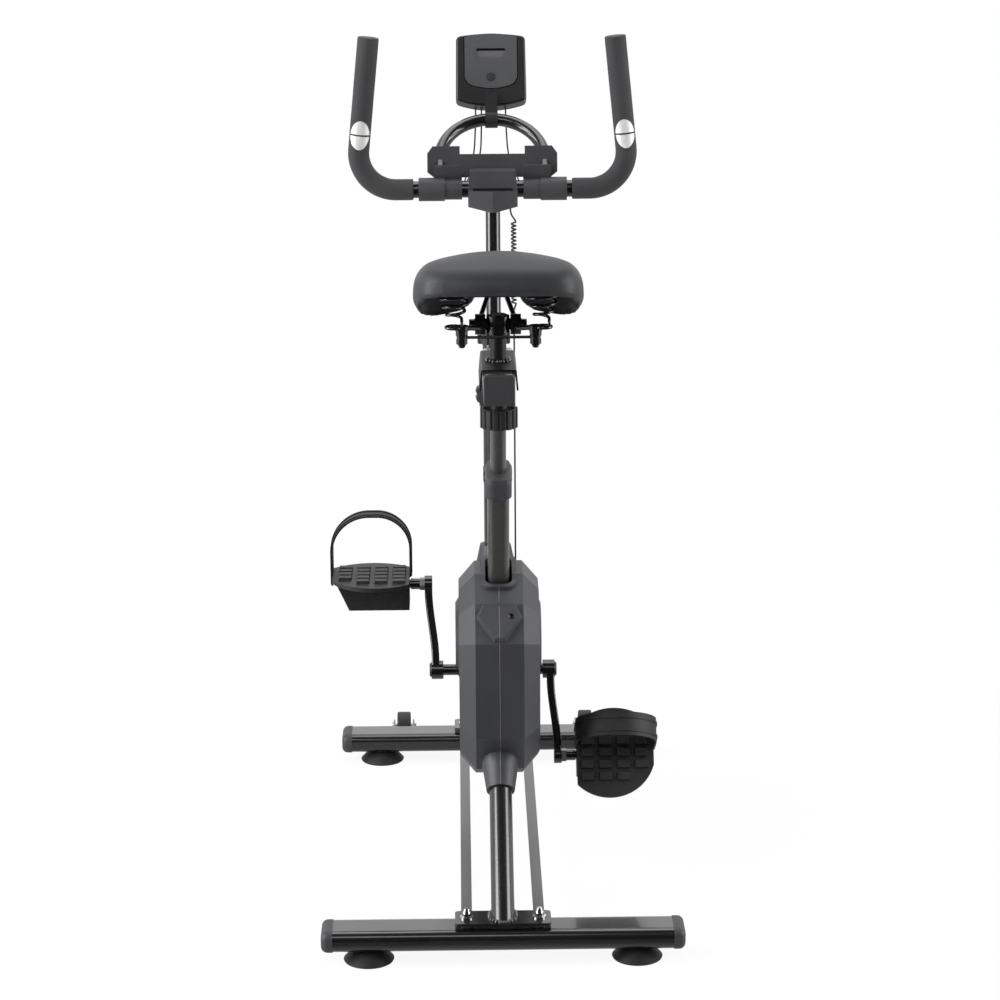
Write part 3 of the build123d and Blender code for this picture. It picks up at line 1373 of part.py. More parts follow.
with BuildPart() as console_housing:
    with BuildSketch(console_plane.offset(-console_depth)):
        with BuildLine():
            Line((-console_half, 10), (1 - console_half, console_height - 5))
            ThreePointArc((1 - console_half, console_height - 5), (0, console_height),
                          (console_half - 1, console_height - 5))
            Line((console_half - 1, console_height - 5), (console_half, 10))
            ThreePointArc((console_half, 10), (0, 0), (-console_half, 10))
        make_face()
        fillet(vertices(), 8)
    extrude(amount=console_depth + face_rise)
    fillet(faces().sort_by(Axis.Y)[-1].edges(), 4)
    with BuildSketch(console_plane):
        add(face_outline(face_slit, 12))
    extrude(amount=2 * face_rise, mode=Mode.SUBTRACT)
    with BuildSketch(console_plane):
        with Locations((0, 46)):
            Circle(button_radius + slide_gap)
    extrude(amount=-8, mode=Mode.SUBTRACT)
keep(console_housing, "console_housing")

with BuildPart() as console_face:
    with BuildSketch(console_plane):
        add(face_outline(0, 0))
        with Locations((0, 46)):
            Circle(button_radius + slide_gap, mode=Mode.SUBTRACT)
        with Locations((0, 84)):
            RectangleRounded(44, 15, 2, mode=Mode.SUBTRACT)
    extrude(amount=face_rise)
keep(console_face, "console_face")

with BuildPart() as console_screen:
    with BuildSketch(console_plane):
        with Locations((0, 84)):
            RectangleRounded(44, 15, 2)
    extrude(amount=2.5)
keep(console_screen, "console_screen")

with BuildPart() as console_button:
    with BuildSketch(console_plane.offset(-5)):
        with Locations((0, 46)):
            Circle(button_radius)
    extrude(amount=10.5)
    fillet(edges().sort_by(Axis((0, 0, 0), face_out))[-1], 1)
keep(console_button, "console_button")

with BuildPart() as console_bracket:
    with BuildSketch(Plane.YZ.offset(-9.5)):
        with Locations((loop_top.Y, loop_top.Z)):
            Circle(loop_radius + 3.5)
        with BuildLine():
            Polyline((loop_top.Y - 7, loop_top.Z), (loop_top.Y + 1, loop_top.Z + 40),
                     (loop_top.Y + 16, loop_top.Z + 34), (loop_top.Y + 9, loop_top.Z), close=True)
        make_face()
    extrude(amount=19)
    with BuildLine() as loop_again:
        Line(left_foot, left_foot + loop_dir * leg_run)
        ThreePointArc(left_foot + loop_dir * leg_run, loop_top, right_foot + loop_dir * leg_run)
    with BuildSketch(Plane(origin=left_foot, x_dir=(1, 0, 0), z_dir=loop_dir)):
        Circle(loop_radius)
    sweep(path=loop_again.line, mode=Mode.SUBTRACT)
    add(console_housing.part, mode=Mode.SUBTRACT)
keep(console_bracket, "console_bracket")

# Console leads: from the console's foot, below the panel, to the bar
with BuildPart() as console_wires:
    for start_x, end_x in ((-24, -43.6), (-15, -40.4), (22, 42)):
        begin = console_foot - face_out * 14 + Vector(start_x, 0, 0)
        with BuildLine() as lead:
            FilletPolyline(begin + face_up * 6, begin - face_up * 24,
                           (start_x * 1.15, bar_y + 84, bar_z + 30), (end_x, bar_y + 46, bar_z + 4),
                           (end_x, bar_y + 10, bar_z), radius=[22, 40, 26])
        with BuildSketch(Plane(origin=lead.line @ 0, z_dir=lead.line % 0)):
            Circle(1.2)
        sweep(path=lead.line)
    with BuildSketch(Plane.YZ.offset(-bar_half)):
        with Locations((bar_y, bar_z)):
            Circle(tube_radius)
    extrude(amount=2 * bar_half, mode=Mode.SUBTRACT)
    add(console_housing.part, mode=Mode.SUBTRACT)
keep(console_wires, "console_wires")

# Curly cord: from the clamp cover beside the front tube to the casing collar
with BuildPart() as coil_cord:
    top_s = stem_gap - 50
    steps = 2 * curl_count
    with BuildLine() as curl:
        marks = []
        climb = curl_pitch / (2 * pi)
        for step in range(steps + 1):
            turn = pi * step
            local = (cord_x + curl_radius * cos(turn), curl_radius * sin(turn), top_s - climb * turn)
            point = post_plane.from_local_coords(local)
            ahead = post_plane.from_local_coords((local[0] - curl_radius * sin(turn),
                                                  local[1] + curl_radius * cos(turn), local[2] - climb))
            marks.append((point, (ahead - point).normalized()))
        down = post_dir * -1
        start = post_plane.from_local_coords((cord_x - 5, -5, stem_gap - 24))
        drop = down * (2 * cord_radius)
        Line(start, start + drop)
        biarc(start + drop, down, *marks[0])
        for begin, end in zip(marks[:-1], marks[1:]):
            biarc(*begin, *end)
        tail = post_plane.from_local_coords((cord_x, 8, top_s - climb * pi * steps - 16))
        biarc(*marks[-1], tail, down)
        finish = post_plane.from_local_coords((cord_x, 8, 196))
        Line(tail, finish)
    with BuildSketch(Plane(origin=start, x_dir=(1, 0, 0), z_dir=down)):
        Circle(cord_radius)
    sweep(path=curl.line)
    add(clamp_cover.part, mode=Mode.SUBTRACT)
    add(casing.part, mode=Mode.SUBTRACT)
    cord_wire = Wire(curl.line.edges())
    print("cord least gap", round(self_gap(cord_wire, cord_radius, 40, 1600), 2))
    print("cord volume ratio", round(coil_cord.part.volume / (pi * cord_radius ** 2 * cord_wire.length), 4))
keep(coil_cord, "coil_cord")
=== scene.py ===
import bpy, bmesh, math
import numpy as np
from mathutils import Vector, Matrix
from mathutils.bvhtree import BVHTree


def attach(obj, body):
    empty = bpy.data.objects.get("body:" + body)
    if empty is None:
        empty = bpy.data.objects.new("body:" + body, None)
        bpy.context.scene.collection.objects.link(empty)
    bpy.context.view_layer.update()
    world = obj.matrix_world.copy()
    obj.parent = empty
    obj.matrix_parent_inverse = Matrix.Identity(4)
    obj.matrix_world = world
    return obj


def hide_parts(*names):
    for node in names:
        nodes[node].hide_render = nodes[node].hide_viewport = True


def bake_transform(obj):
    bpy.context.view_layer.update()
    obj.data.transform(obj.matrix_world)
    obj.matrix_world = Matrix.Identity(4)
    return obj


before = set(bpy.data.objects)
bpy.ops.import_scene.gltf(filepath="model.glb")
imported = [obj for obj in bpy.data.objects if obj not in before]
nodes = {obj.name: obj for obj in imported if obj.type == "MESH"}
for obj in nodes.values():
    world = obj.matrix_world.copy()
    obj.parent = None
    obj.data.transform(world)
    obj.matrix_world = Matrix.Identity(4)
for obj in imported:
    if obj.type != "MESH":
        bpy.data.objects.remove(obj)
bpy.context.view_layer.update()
print("frame loaded", len(nodes), "nodes")

# shared sizes of this bike, in metres, as in the solids
bike = {"postLean": 3.85, "postFoot": (0.0, 0.1465, 0.2), "barZ": 0.97, "bracket": (0.0, -0.123, 0.319)}


def leanDir(degrees):   # upward direction that leans to the front
    return Vector((0, math.sin(math.radians(degrees)), math.cos(math.radians(degrees))))


postDir = leanDir(bike["postLean"])
postFore = Vector((0, postDir.z, -postDir.y))
postFoot = Vector(bike["postFoot"])
stemGap = (bike["barZ"] - bike["postFoot"][2]) / postDir.z   # from the tube's foot up to the bar
barPoint = postFoot + postDir * stemGap


# camera and studio
studio = {"lens": 104.65, "sensor": 36.0, "sight": 60.0, "place": (-0.0525, -4.1335, 1.6495),
          "pitch": 15.023, "yaw": 0.801, "roll": 0.35,
          "floorX": 14, "floorY": (-9, 22), "floorTone": 0.9,
          "nearGlow": 0.91, "nearFade": (0.3, 1.15),   # floor share that is plain white, and where it fades in
          "floorShine": (-0.58, -0.46, 0.02, 0.6),   # what gloss sees of the floor, by depth
          "worldShine": (-0.35, 0.8, 0.03, 1.25),   # what gloss sees of the room, by direction
          "ambient": 0.2, "aim": (0, 0, 0.6),
          "lamps": (("leftBox", (-2.9, -0.9, 1.7), (2.0, 3.0), 165.0),
                    ("rightBox", (3.0, -0.6, 1.6), (1.8, 2.9), 108.0),
                    ("topBox", (0.1, 0.7, 3.4), (2.4, 1.6), 34.0),
                    ("rearBox", (-0.8, -3.4, 3.2), (2.0, 1.0), 22.0),
                    ("keyBox", (-1.75, -1.5, 2.9), (1.1, 0.8), 8.0))}


def addNode(tree, kind, **values):
    node = tree.nodes.new(kind)
    for key, value in values.items():
        setattr(node, key, value)
    return node


def rangeNode(tree, source, spans):   # clamped change from one span to another
    node = addNode(tree, "ShaderNodeMapRange", interpolation_type="SMOOTHSTEP")
    tree.links.new(source, node.inputs[0])
    for i, value in enumerate(spans):
        node.inputs[i + 1].default_value = value
    return node.outputs[0]


def mixShaders(tree, factor, first, second):
    node = tree.nodes.new("ShaderNodeMixShader")
    for i, source in enumerate((factor, first, second)):
        tree.links.new(source, node.inputs[i])
    return node.outputs[0]


def glowNode(tree, kind, strength):   # white light of a plain or a changing strength
    node = tree.nodes.new(kind)
    node.inputs["Color"].default_value = (1, 1, 1, 1)
    if isinstance(strength, (int, float)):
        node.inputs["Strength"].default_value = strength
    else:
        tree.links.new(strength, node.inputs["Strength"])
    return node.outputs[0]


def seenDirect(tree, path):   # straight from the camera or through clear pieces
    node = addNode(tree, "ShaderNodeMath", operation="MAXIMUM")
    tree.links.new(path.outputs["Is Camera Ray"], node.inputs[0])
    tree.links.new(path.outputs["Is Transmission Ray"], node.inputs[1])
    return node.outputs[0]


def linkObject(name, data):
    obj = bpy.data.objects.new(name, data)
    bpy.context.scene.collection.objects.link(obj)
    return obj


def makeCamera():
    cam = linkObject("bikeCamera", bpy.data.cameras.new("bikeCamera"))
    cam.data.lens = studio["lens"]
    cam.data.sensor_width = studio["sensor"]
    cam.data.clip_end = studio["sight"]
    cam.location = studio["place"]
    spin = Matrix.Identity(4)
    for angle, axis in ((-studio["yaw"], "Z"), (90 - studio["pitch"], "X"), (-studio["roll"], "Z")):
        spin = spin @ Matrix.Rotation(math.radians(angle), 4, axis)
    cam.rotation_euler = spin.to_euler()
    bpy.context.scene.camera = cam


def makeLamps():
    for name, place, size, power in studio["lamps"]:
        lamp = bpy.data.lights.new(name, "AREA")
        lamp.shape = "RECTANGLE"
        lamp.size, lamp.size_y = size
        lamp.energy = power
        lightObj = linkObject(name, lamp)
        lightObj.location = place
        lightObj.rotation_euler = (Vector(studio["aim"]) - Vector(place)).to_track_quat("-Z", "Y").to_euler()


def makeFloor():
    wide, (near, far) = studio["floorX"], studio["floorY"]
    mesh = bpy.data.meshes.new("studioFloor")
    mesh.from_pydata([(-wide, near, 0), (wide, near, 0), (wide, far, 0), (-wide, far, 0)], [], [(0, 1, 2, 3)])
    obj = linkObject("studioFloor", mesh)
    mat = bpy.data.materials.new("studioFloor")
    mat.use_nodes = True
    tree = mat.node_tree
    tree.nodes.clear()
    out = tree.nodes.new("ShaderNodeOutputMaterial")
    matte = tree.nodes.new("ShaderNodeBsdfDiffuse")
    matte.inputs["Color"].default_value = (studio["floorTone"],) * 3 + (1,)
    place = tree.nodes.new("ShaderNodeNewGeometry")
    away = addNode(tree, "ShaderNodeVectorMath", operation="LENGTH")
    tree.links.new(place.outputs["Position"], away.inputs[0])
    axes = tree.nodes.new("ShaderNodeSeparateXYZ")
    tree.links.new(place.outputs["Position"], axes.inputs[0])
    path = tree.nodes.new("ShaderNodeLightPath")
    share = rangeNode(tree, away.outputs["Value"], (*studio["nearFade"], studio["nearGlow"], 1.0))
    seen = mixShaders(tree, share, matte.outputs[0], glowNode(tree, "ShaderNodeEmission", 1.0))
    shine = glowNode(tree, "ShaderNodeEmission", rangeNode(tree, axes.outputs["Y"], studio["floorShine"]))
    direct = mixShaders(tree, seenDirect(tree, path), matte.outputs[0], seen)
    tree.links.new(mixShaders(tree, path.outputs["Is Glossy Ray"], direct, shine), out.inputs["Surface"])
    mesh.materials.append(mat)


def makeWorld():   # white to the eye, bright behind the bike and dim behind the camera in reflections
    world = bpy.data.worlds.new("studioWorld")
    bpy.context.scene.world = world
    world.use_nodes = True
    tree = world.node_tree
    tree.nodes.clear()
    out = tree.nodes.new("ShaderNodeOutputWorld")
    path = tree.nodes.new("ShaderNodeLightPath")
    coord = tree.nodes.new("ShaderNodeTexCoord")
    axes = tree.nodes.new("ShaderNodeSeparateXYZ")
    tree.links.new(coord.outputs["Generated"], axes.inputs[0])
    soft = glowNode(tree, "ShaderNodeBackground", studio["ambient"])
    white = glowNode(tree, "ShaderNodeBackground", 1.0)
    shine = glowNode(tree, "ShaderNodeBackground", rangeNode(tree, axes.outputs["Y"], studio["worldShine"]))
    direct = mixShaders(tree, seenDirect(tree, path), soft, white)
    tree.links.new(mixShaders(tree, path.outputs["Is Glossy Ray"], direct, shine), out.inputs["Surface"])


makeCamera()
makeLamps()
makeFloor()
makeWorld()
bpy.context.scene.view_settings.view_transform = "Standard"
print("studio ready")


# shader groups shared by the finishes
grainSet = {"detail": 3.0}
toneSet = {"detail": 5.0, "coarse": 0.62, "start": 0.36, "end": 0.74, "sheenChange": 0.12}


def newGroup(name, inputs, outputs):
    tree = bpy.data.node_groups.new(name, "ShaderNodeTree")
    for label, kind, value in inputs:
        sock = tree.interface.new_socket(label, in_out="INPUT", socket_type=kind)
        sock.default_value = value
    for label, kind in outputs:
        tree.interface.new_socket(label, in_out="OUTPUT", socket_type=kind)
    return tree, tree.nodes.new("NodeGroupInput"), tree.nodes.new("NodeGroupOutput")


def mathNode(tree, op, a, b):
    node = addNode(tree, "ShaderNodeMath", operation=op)
    for i, val in enumerate((a, b)):
        if isinstance(val, (int, float)):
            node.inputs[i].default_value = val
        else:
            tree.links.new(val, node.inputs[i])
    return node.outputs[0]


def mixTones(tree, factor, first, second):   # the second is a socket or a plain tone
    blend = addNode(tree, "ShaderNodeMix", data_type="RGBA")
    tree.links.new(factor, blend.inputs[0])
    tree.links.new(first, blend.inputs[6])   # 6, 7 and 2 are this node's colour sockets
    if isinstance(second, tuple):
        blend.inputs[7].default_value = (*second, 1)
    else:
        tree.links.new(second, blend.inputs[7])
    return blend.outputs[2]


def makeMouldGrain():   # fine leathered or eggshell grain for mouldings and coats
    tree, gin, gout = newGroup("mouldGrain", [("Grain Scale", "NodeSocketFloat", 900.0),
                                              ("Pebble Scale", "NodeSocketFloat", 300.0),
                                              ("Pebble Share", "NodeSocketFloat", 0.5)],
                               [("Height", "NodeSocketFloat")])
    coord = tree.nodes.new("ShaderNodeTexCoord")
    fine = tree.nodes.new("ShaderNodeTexNoise")
    fine.inputs["Detail"].default_value = grainSet["detail"]
    pebble = addNode(tree, "ShaderNodeTexVoronoi", feature="SMOOTH_F1")
    tree.links.new(coord.outputs["Object"], fine.inputs["Vector"])
    tree.links.new(coord.outputs["Object"], pebble.inputs["Vector"])
    tree.links.new(gin.outputs["Grain Scale"], fine.inputs["Scale"])
    tree.links.new(gin.outputs["Pebble Scale"], pebble.inputs["Scale"])
    lumps = mathNode(tree, "MULTIPLY", pebble.outputs["Distance"], gin.outputs["Pebble Share"])
    tree.links.new(mathNode(tree, "ADD", fine.outputs["Fac"], lumps), gout.inputs["Height"])
    return tree


def makeHandledTone():   # slow change of tone and roughness over a surface
    tree, gin, gout = newGroup("handledTone", [("Tone", "NodeSocketColor", (0.02, 0.02, 0.02, 1)),
                                               ("Worn Tone", "NodeSocketColor", (0.05, 0.05, 0.05, 1)),
                                               ("Patch Scale", "NodeSocketFloat", 9.0),
                                               ("Sheen", "NodeSocketFloat", 0.5),
                                               ("Sheen Change", "NodeSocketFloat", toneSet["sheenChange"])],
                               [("Color", "NodeSocketColor"), ("Roughness", "NodeSocketFloat")])
    coord = tree.nodes.new("ShaderNodeTexCoord")
    patch = tree.nodes.new("ShaderNodeTexNoise")
    patch.inputs["Detail"].default_value = toneSet["detail"]
    patch.inputs["Roughness"].default_value = toneSet["coarse"]
    tree.links.new(coord.outputs["Object"], patch.inputs["Vector"])
    tree.links.new(gin.outputs["Patch Scale"], patch.inputs["Scale"])
    ramp = tree.nodes.new("ShaderNodeValToRGB")
    ramp.color_ramp.elements[0].position = toneSet["start"]
    ramp.color_ramp.elements[1].position = toneSet["end"]
    tree.links.new(patch.outputs["Fac"], ramp.inputs["Fac"])
    mixed = mixTones(tree, ramp.outputs["Color"], gin.outputs["Tone"], gin.outputs["Worn Tone"])
    tree.links.new(mixed, gout.inputs["Color"])
    shift = mathNode(tree, "MULTIPLY", mathNode(tree, "SUBTRACT", patch.outputs["Fac"], 0.5),
                     gin.outputs["Sheen Change"])
    tree.links.new(mathNode(tree, "ADD", gin.outputs["Sheen"], shift), gout.inputs["Roughness"])
    return tree


mouldGrain = makeMouldGrain()
handledTone = makeHandledTone()
plainLook = {"patch": 9.0, "grain": 900.0, "pebble": 300.0, "pebbleShare": 0.4, "depth": 0.0004, "metal": 0.0,
             "specular": 0.5, "coat": 0.0, "coatRough": 0.1, "velvet": 0.0}   # what a finish doesn't set itself


def finish(name, changes):   # one Principled finish from its settings
    look = {**plainLook, **changes}
    mat = bpy.data.materials.new(name)
    mat.use_nodes = True
    tree = mat.node_tree
    shader = tree.nodes["Principled BSDF"]
    tone = addNode(tree, "ShaderNodeGroup", node_tree=handledTone)
    tone.inputs["Tone"].default_value = (*look["tone"], 1)
    tone.inputs["Worn Tone"].default_value = (*look["worn"], 1)
    tone.inputs["Patch Scale"].default_value = look["patch"]
    tone.inputs["Sheen"].default_value = look["rough"]
    grain = addNode(tree, "ShaderNodeGroup", node_tree=mouldGrain)
    grain.inputs["Grain Scale"].default_value = look["grain"]
    grain.inputs["Pebble Scale"].default_value = look["pebble"]
    grain.inputs["Pebble Share"].default_value = look["pebbleShare"]
    bump = tree.nodes.new("ShaderNodeBump")
    bump.inputs["Strength"].default_value = look["bump"]
    bump.inputs["Distance"].default_value = look["depth"]
    tree.links.new(grain.outputs["Height"], bump.inputs["Height"])
    tree.links.new(bump.outputs["Normal"], shader.inputs["Normal"])
    colour = tone.outputs["Color"]
    if "hollowShade" in look:   # painted shade where the mesh carries a mark
        mark = addNode(tree, "ShaderNodeAttribute", attribute_name="hollowShade")
        colour = mixTones(tree, mark.outputs["Fac"], colour, look["hollowShade"])
    if "zone" in look:   # another tone above a height and behind a depth: the seat tube's lighter tone, and painted shadow along the console window's top
        zone = look["zone"]
        coord = tree.nodes.new("ShaderNodeTexCoord")
        axes = tree.nodes.new("ShaderNodeSeparateXYZ")
        tree.links.new(coord.outputs["Object"], axes.inputs[0])
        above = rangeNode(tree, axes.outputs["Z"], (*zone["z"], 0.0, 1.0))
        behind = rangeNode(tree, axes.outputs["Y"], (*zone["y"], 1.0, 0.0))
        colour = mixTones(tree, mathNode(tree, "MULTIPLY", above, behind), colour, zone["tone"])
    tree.links.new(colour, shader.inputs["Base Color"])
    tree.links.new(tone.outputs["Roughness"], shader.inputs["Roughness"])
    shader.inputs["Metallic"].default_value = look["metal"]
    shader.inputs["Specular IOR Level"].default_value = look["specular"]
    shader.inputs["Coat Weight"].default_value = look["coat"]
    shader.inputs["Coat Roughness"].default_value = look["coatRough"]
    shader.inputs["Sheen Weight"].default_value = look["velvet"]
    return mat


looks = {
    "powderBlack": {"tone": (0.0055, 0.0055, 0.006), "worn": (0.009, 0.009, 0.0095), "rough": 0.22, "grain": 700,
                    "pebble": 420, "bump": 0.04, "coat": 0.5, "coatRough": 0.07},
    "tubeBlack": {"tone": (0.0055, 0.0055, 0.006), "worn": (0.009, 0.009, 0.0095), "rough": 0.24, "grain": 700,
                  "pebble": 420, "bump": 0.04, "coat": 0.5, "coatRough": 0.09,
                  "zone": {"z": (0.43, 0.47), "y": (-0.1, 0.0), "tone": (0.041, 0.04, 0.038)}},   # seat tube
    "satinBlack": {"tone": (0.009, 0.009, 0.0095), "worn": (0.014, 0.014, 0.0145), "rough": 0.4, "grain": 700,
                   "pebble": 420, "bump": 0.06, "specular": 0.26},
    "greyCoat": {"tone": (0.075, 0.075, 0.076), "worn": (0.095, 0.095, 0.095), "rough": 0.36, "bump": 0.1},
    "postGrey": {"tone": (0.038, 0.038, 0.037), "worn": (0.05, 0.05, 0.049), "rough": 0.26, "bump": 0.05,
                 "coat": 0.6, "coatRough": 0.08},
    "casingGrey": {"tone": (0.028, 0.029, 0.032), "worn": (0.036, 0.037, 0.041), "rough": 0.5, "grain": 1100,
                   "pebble": 650, "bump": 0.28, "patch": 5.0},
    # lighter grey that stands for a painted highlight along the casing's parting line
    "seamHighlightGrey": {"tone": (0.11, 0.11, 0.115), "worn": (0.15, 0.15, 0.155), "rough": 0.5, "bump": 0.1},
    "mouldBlack": {"tone": (0.013, 0.013, 0.014), "worn": (0.02, 0.02, 0.021), "rough": 0.5, "bump": 0.22,
                   "specular": 0.34},
    "mouldGrey": {"tone": (0.031, 0.031, 0.034), "worn": (0.041, 0.041, 0.044), "rough": 0.52, "bump": 0.24,
                  "specular": 0.4},
    "footRubber": {"tone": (0.01, 0.01, 0.01), "worn": (0.018, 0.018, 0.018), "rough": 0.56, "bump": 0.3,
                   "specular": 0.3},
    "gripFoam": {"tone": (0.023, 0.023, 0.025), "worn": (0.034, 0.034, 0.036), "rough": 0.76, "grain": 520,
                 "pebble": 780, "pebbleShare": 0.9, "bump": 0.5, "depth": 0.0006, "velvet": 0.08, "specular": 0.35},
    "saddleSkin": {"tone": (0.027, 0.028, 0.031), "worn": (0.036, 0.037, 0.04), "rough": 0.44, "grain": 260,
                   "pebble": 520, "pebbleShare": 0.8, "bump": 0.2, "patch": 7.0, "specular": 0.22,
                   "hollowShade": (0.002, 0.002, 0.002)},   # painted shade in the hollow below
    "brightSteel": {"tone": (0.52, 0.52, 0.53), "worn": (0.62, 0.62, 0.63), "rough": 0.3, "metal": 1.0,
                    "bump": 0.08},
    "padSteel": {"tone": (0.55, 0.55, 0.54), "worn": (0.66, 0.66, 0.645), "rough": 0.46, "metal": 0.3,
                 "bump": 0.06},
    "nutChrome": {"tone": (0.66, 0.66, 0.67), "worn": (0.74, 0.74, 0.75), "rough": 0.16, "metal": 1.0,
                  "bump": 0.03},
    "ironGrey": {"tone": (0.14, 0.14, 0.145), "worn": (0.2, 0.2, 0.2), "rough": 0.55, "metal": 0.8, "bump": 0.4},
    "consoleBlack": {"tone": (0.008, 0.008, 0.0083), "worn": (0.012, 0.012, 0.012), "rough": 0.36, "bump": 0.06,
                     "specular": 0.4},
    "consoleGrey": {"tone": (0.045, 0.046, 0.049), "worn": (0.053, 0.054, 0.057), "rough": 0.46, "bump": 0.14,
                    "specular": 0.4},
    "windowGrey": {"tone": (0.085, 0.085, 0.088), "worn": (0.1, 0.1, 0.103), "rough": 0.14, "bump": 0.0,
                   "coat": 0.4,   # with a painted shadow along its top
                   "zone": {"z": (1.1592, 1.16), "y": (2.0, 3.0), "tone": (0.004, 0.004, 0.004)}},
    "cordBlack": {"tone": (0.008, 0.008, 0.008), "worn": (0.015, 0.015, 0.015), "rough": 0.42, "bump": 0.1},
}
mats = {name: finish(name, look) for name, look in looks.items()}

wears = {
    "tubeBlack": ["main_frame"],
    "powderBlack": ["rear_stabiliser", "front_stabiliser", "crank_left", "crank_right", "saddle_clamp",
                    "saddle_rails", "saddle_bolts", "stem", "handlebar", "console_loop", "crank_axle",
                    "pedal_spindles", "casing_screw"],
    "satinBlack": ["seat_slider"],
    "greyCoat": ["floor_bars"],
    "postGrey": ["seat_post"],
    "casingGrey": ["casing_left", "casing_right"],
    "mouldGrey": ["clamp_cover", "tray", "tension_knob", "rail_caps", "stabiliser_caps", "seat_bushing"],
    "mouldBlack": ["tension_base", "stem_bushing", "stem_collar", "drive_pulley", "crank_caps", "pedal_left",
                   "pedal_right", "wheel_left", "wheel_right", "slider_knob", "height_knob", "console_bracket",
                   "saddle_pan", "console_button"],
    "footRubber": ["feet", "belt", "strap_left", "strap_right"],
    "brightSteel": ["wheel_pins", "bracket_cups", "flywheel_axle", "flywheel_pulley"],
    "nutChrome": ["stabiliser_bolts", "stabiliser_washers", "stabiliser_nuts"],
    "padSteel": ["pulse_pads"],
    "ironGrey": ["flywheel"],
    "consoleBlack": ["console_housing"],
    "consoleGrey": ["console_face"],
    "windowGrey": ["console_screen"],
}
for finishName, names in wears.items():
    for name in names:
        for place in nodes[name].material_slots:
            place.material = mats[finishName]
print("finishes on", sum(len(n) for n in wears.values()), "nodes")


# helpers for new pieces
def linkMesh(name, mesh, matName, body, slotName, *stands):
    obj = linkObject(name, mesh)
    mesh.materials.clear()
    mesh.materials.append(mats[matName])
    if body:
        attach(obj, body)
    if stands:
        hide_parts(*stands)
    return obj


def bakedMesh(obj):   # plain mesh of the object as its modifiers or its curve leave it
    bpy.context.view_layer.update()
    return bpy.data.meshes.new_from_object(obj.evaluated_get(bpy.context.evaluated_depsgraph_get()))


def tubeMesh(name, lines, radius, sides):   # closed tubes along point lists
    mesh = bpy.data.meshes.new(name)
    bm = bmesh.new()
    for line in lines:
        pts = [Vector(p) for p in line]
        rings = []
        side = (pts[1] - pts[0]).normalized().orthogonal().normalized()
        for i, p in enumerate(pts):
            ahead = (pts[min(i + 1, len(pts) - 1)] - pts[max(i - 1, 0)]).normalized()
            side = (side - ahead * side.dot(ahead)).normalized()
            up = ahead.cross(side)
            rings.append([bm.verts.new(p + (side * math.cos(2 * math.pi * k / sides)
                                            + up * math.sin(2 * math.pi * k / sides)) * radius)
                          for k in range(sides)])
        for a, b in zip(rings[:-1], rings[1:]):
            for k in range(sides):
                bm.faces.new((a[k], a[(k + 1) % sides], b[(k + 1) % sides], b[k]))
        bm.faces.new(list(reversed(rings[0])))
        bm.faces.new(rings[-1])
    for face in bm.faces:
        face.smooth = True
    bm.to_mesh(mesh)
    bm.free()
    return mesh


def smoothLine(points, steps):   # points read from the route's own NURBS spline
    curve = bpy.data.curves.new("route", "CURVE")
    curve.dimensions = "3D"
    curve.resolution_u = steps
    spline = curve.splines.new("NURBS")
    spline.points.add(len(points) - 1)
    for knot, p in zip(spline.points, points):
        knot.co = (*p, 1)
    spline.order_u = 3
    spline.use_endpoint_u = True
    obj = linkObject("route", curve)
    flat = bakedMesh(obj)
    line = [v.co.copy() for v in flat.vertices]
    bpy.data.objects.remove(obj)
    bpy.data.curves.remove(curve)
    bpy.data.meshes.remove(flat)
    return line


def newNodesTree(name, labels):   # tree that takes a path and named sizes
    tree = bpy.data.node_groups.new(name, "GeometryNodeTree")
    tree.interface.new_socket("Geometry", in_out="INPUT", socket_type="NodeSocketGeometry")
    keys = {}
    for label in labels:
        keys[label] = tree.interface.new_socket(label, in_out="INPUT", socket_type="NodeSocketFloat").identifier
    tree.interface.new_socket("Geometry", in_out="OUTPUT", socket_type="NodeSocketGeometry")
    return tree, keys, tree.nodes.new("NodeGroupInput"), tree.nodes.new("NodeGroupOutput")


def endTree(tree, shape, matName, gout):   # smooth, real and with its finish
    for kind in ("GeometryNodeSetShadeSmooth", "GeometryNodeRealizeInstances", "GeometryNodeSetMaterial"):
        node = tree.nodes.new(kind)
        tree.links.new(shape, node.inputs["Geometry"])
        shape = node.outputs["Geometry"]
    node.inputs["Material"].default_value = mats[matName]
    tree.links.new(shape, gout.inputs["Geometry"])


def runTree(name, tree, keys, sizes, points, edges):   # plain mesh that the tree makes along a path
    path = bpy.data.meshes.new(name)
    path.from_pydata(points, edges, [])
    carrier = linkObject(name, path)
    mod = carrier.modifiers.new(name, "NODES")
    mod.node_group = tree
    for label, size in sizes.items():
        mod[keys[label]] = size
    made = bakedMesh(carrier)
    bpy.data.objects.remove(carrier)
    return made


# padded saddle: the solid's form, swelled by cloth and smoothed
saddle = {"merge": 0.00005, "voxel": 0.0042, "pressure": 4.0, "frames": 18, "cap": 0.004, "fill": 0.85,
          "under": -0.35, "underSpan": 0.5,   # tilt from which the skin swells, and how soon it does so fully
          "dome": 0.034, "back": -0.415, "front": -0.3, "rim": 0.93, "crown": 0.972,   # round sweep of the rear
          "ease": 0.5, "rounds": 14, "upper": -0.15, "rimRounds": 16,
          "upperRounds": ((-0.31, 22), (-0.26, 8), (-0.2, 4)),   # rounder towards the back than at the nose
          "lift": 0.002, "skyPull": 1.2, "reach": 0.3, "below": -0.75}   # search for the hollow's roof, for the painted shade


def shareOf(value, start, end):
    return min(1.0, max(0.0, (value - start) / (end - start)))


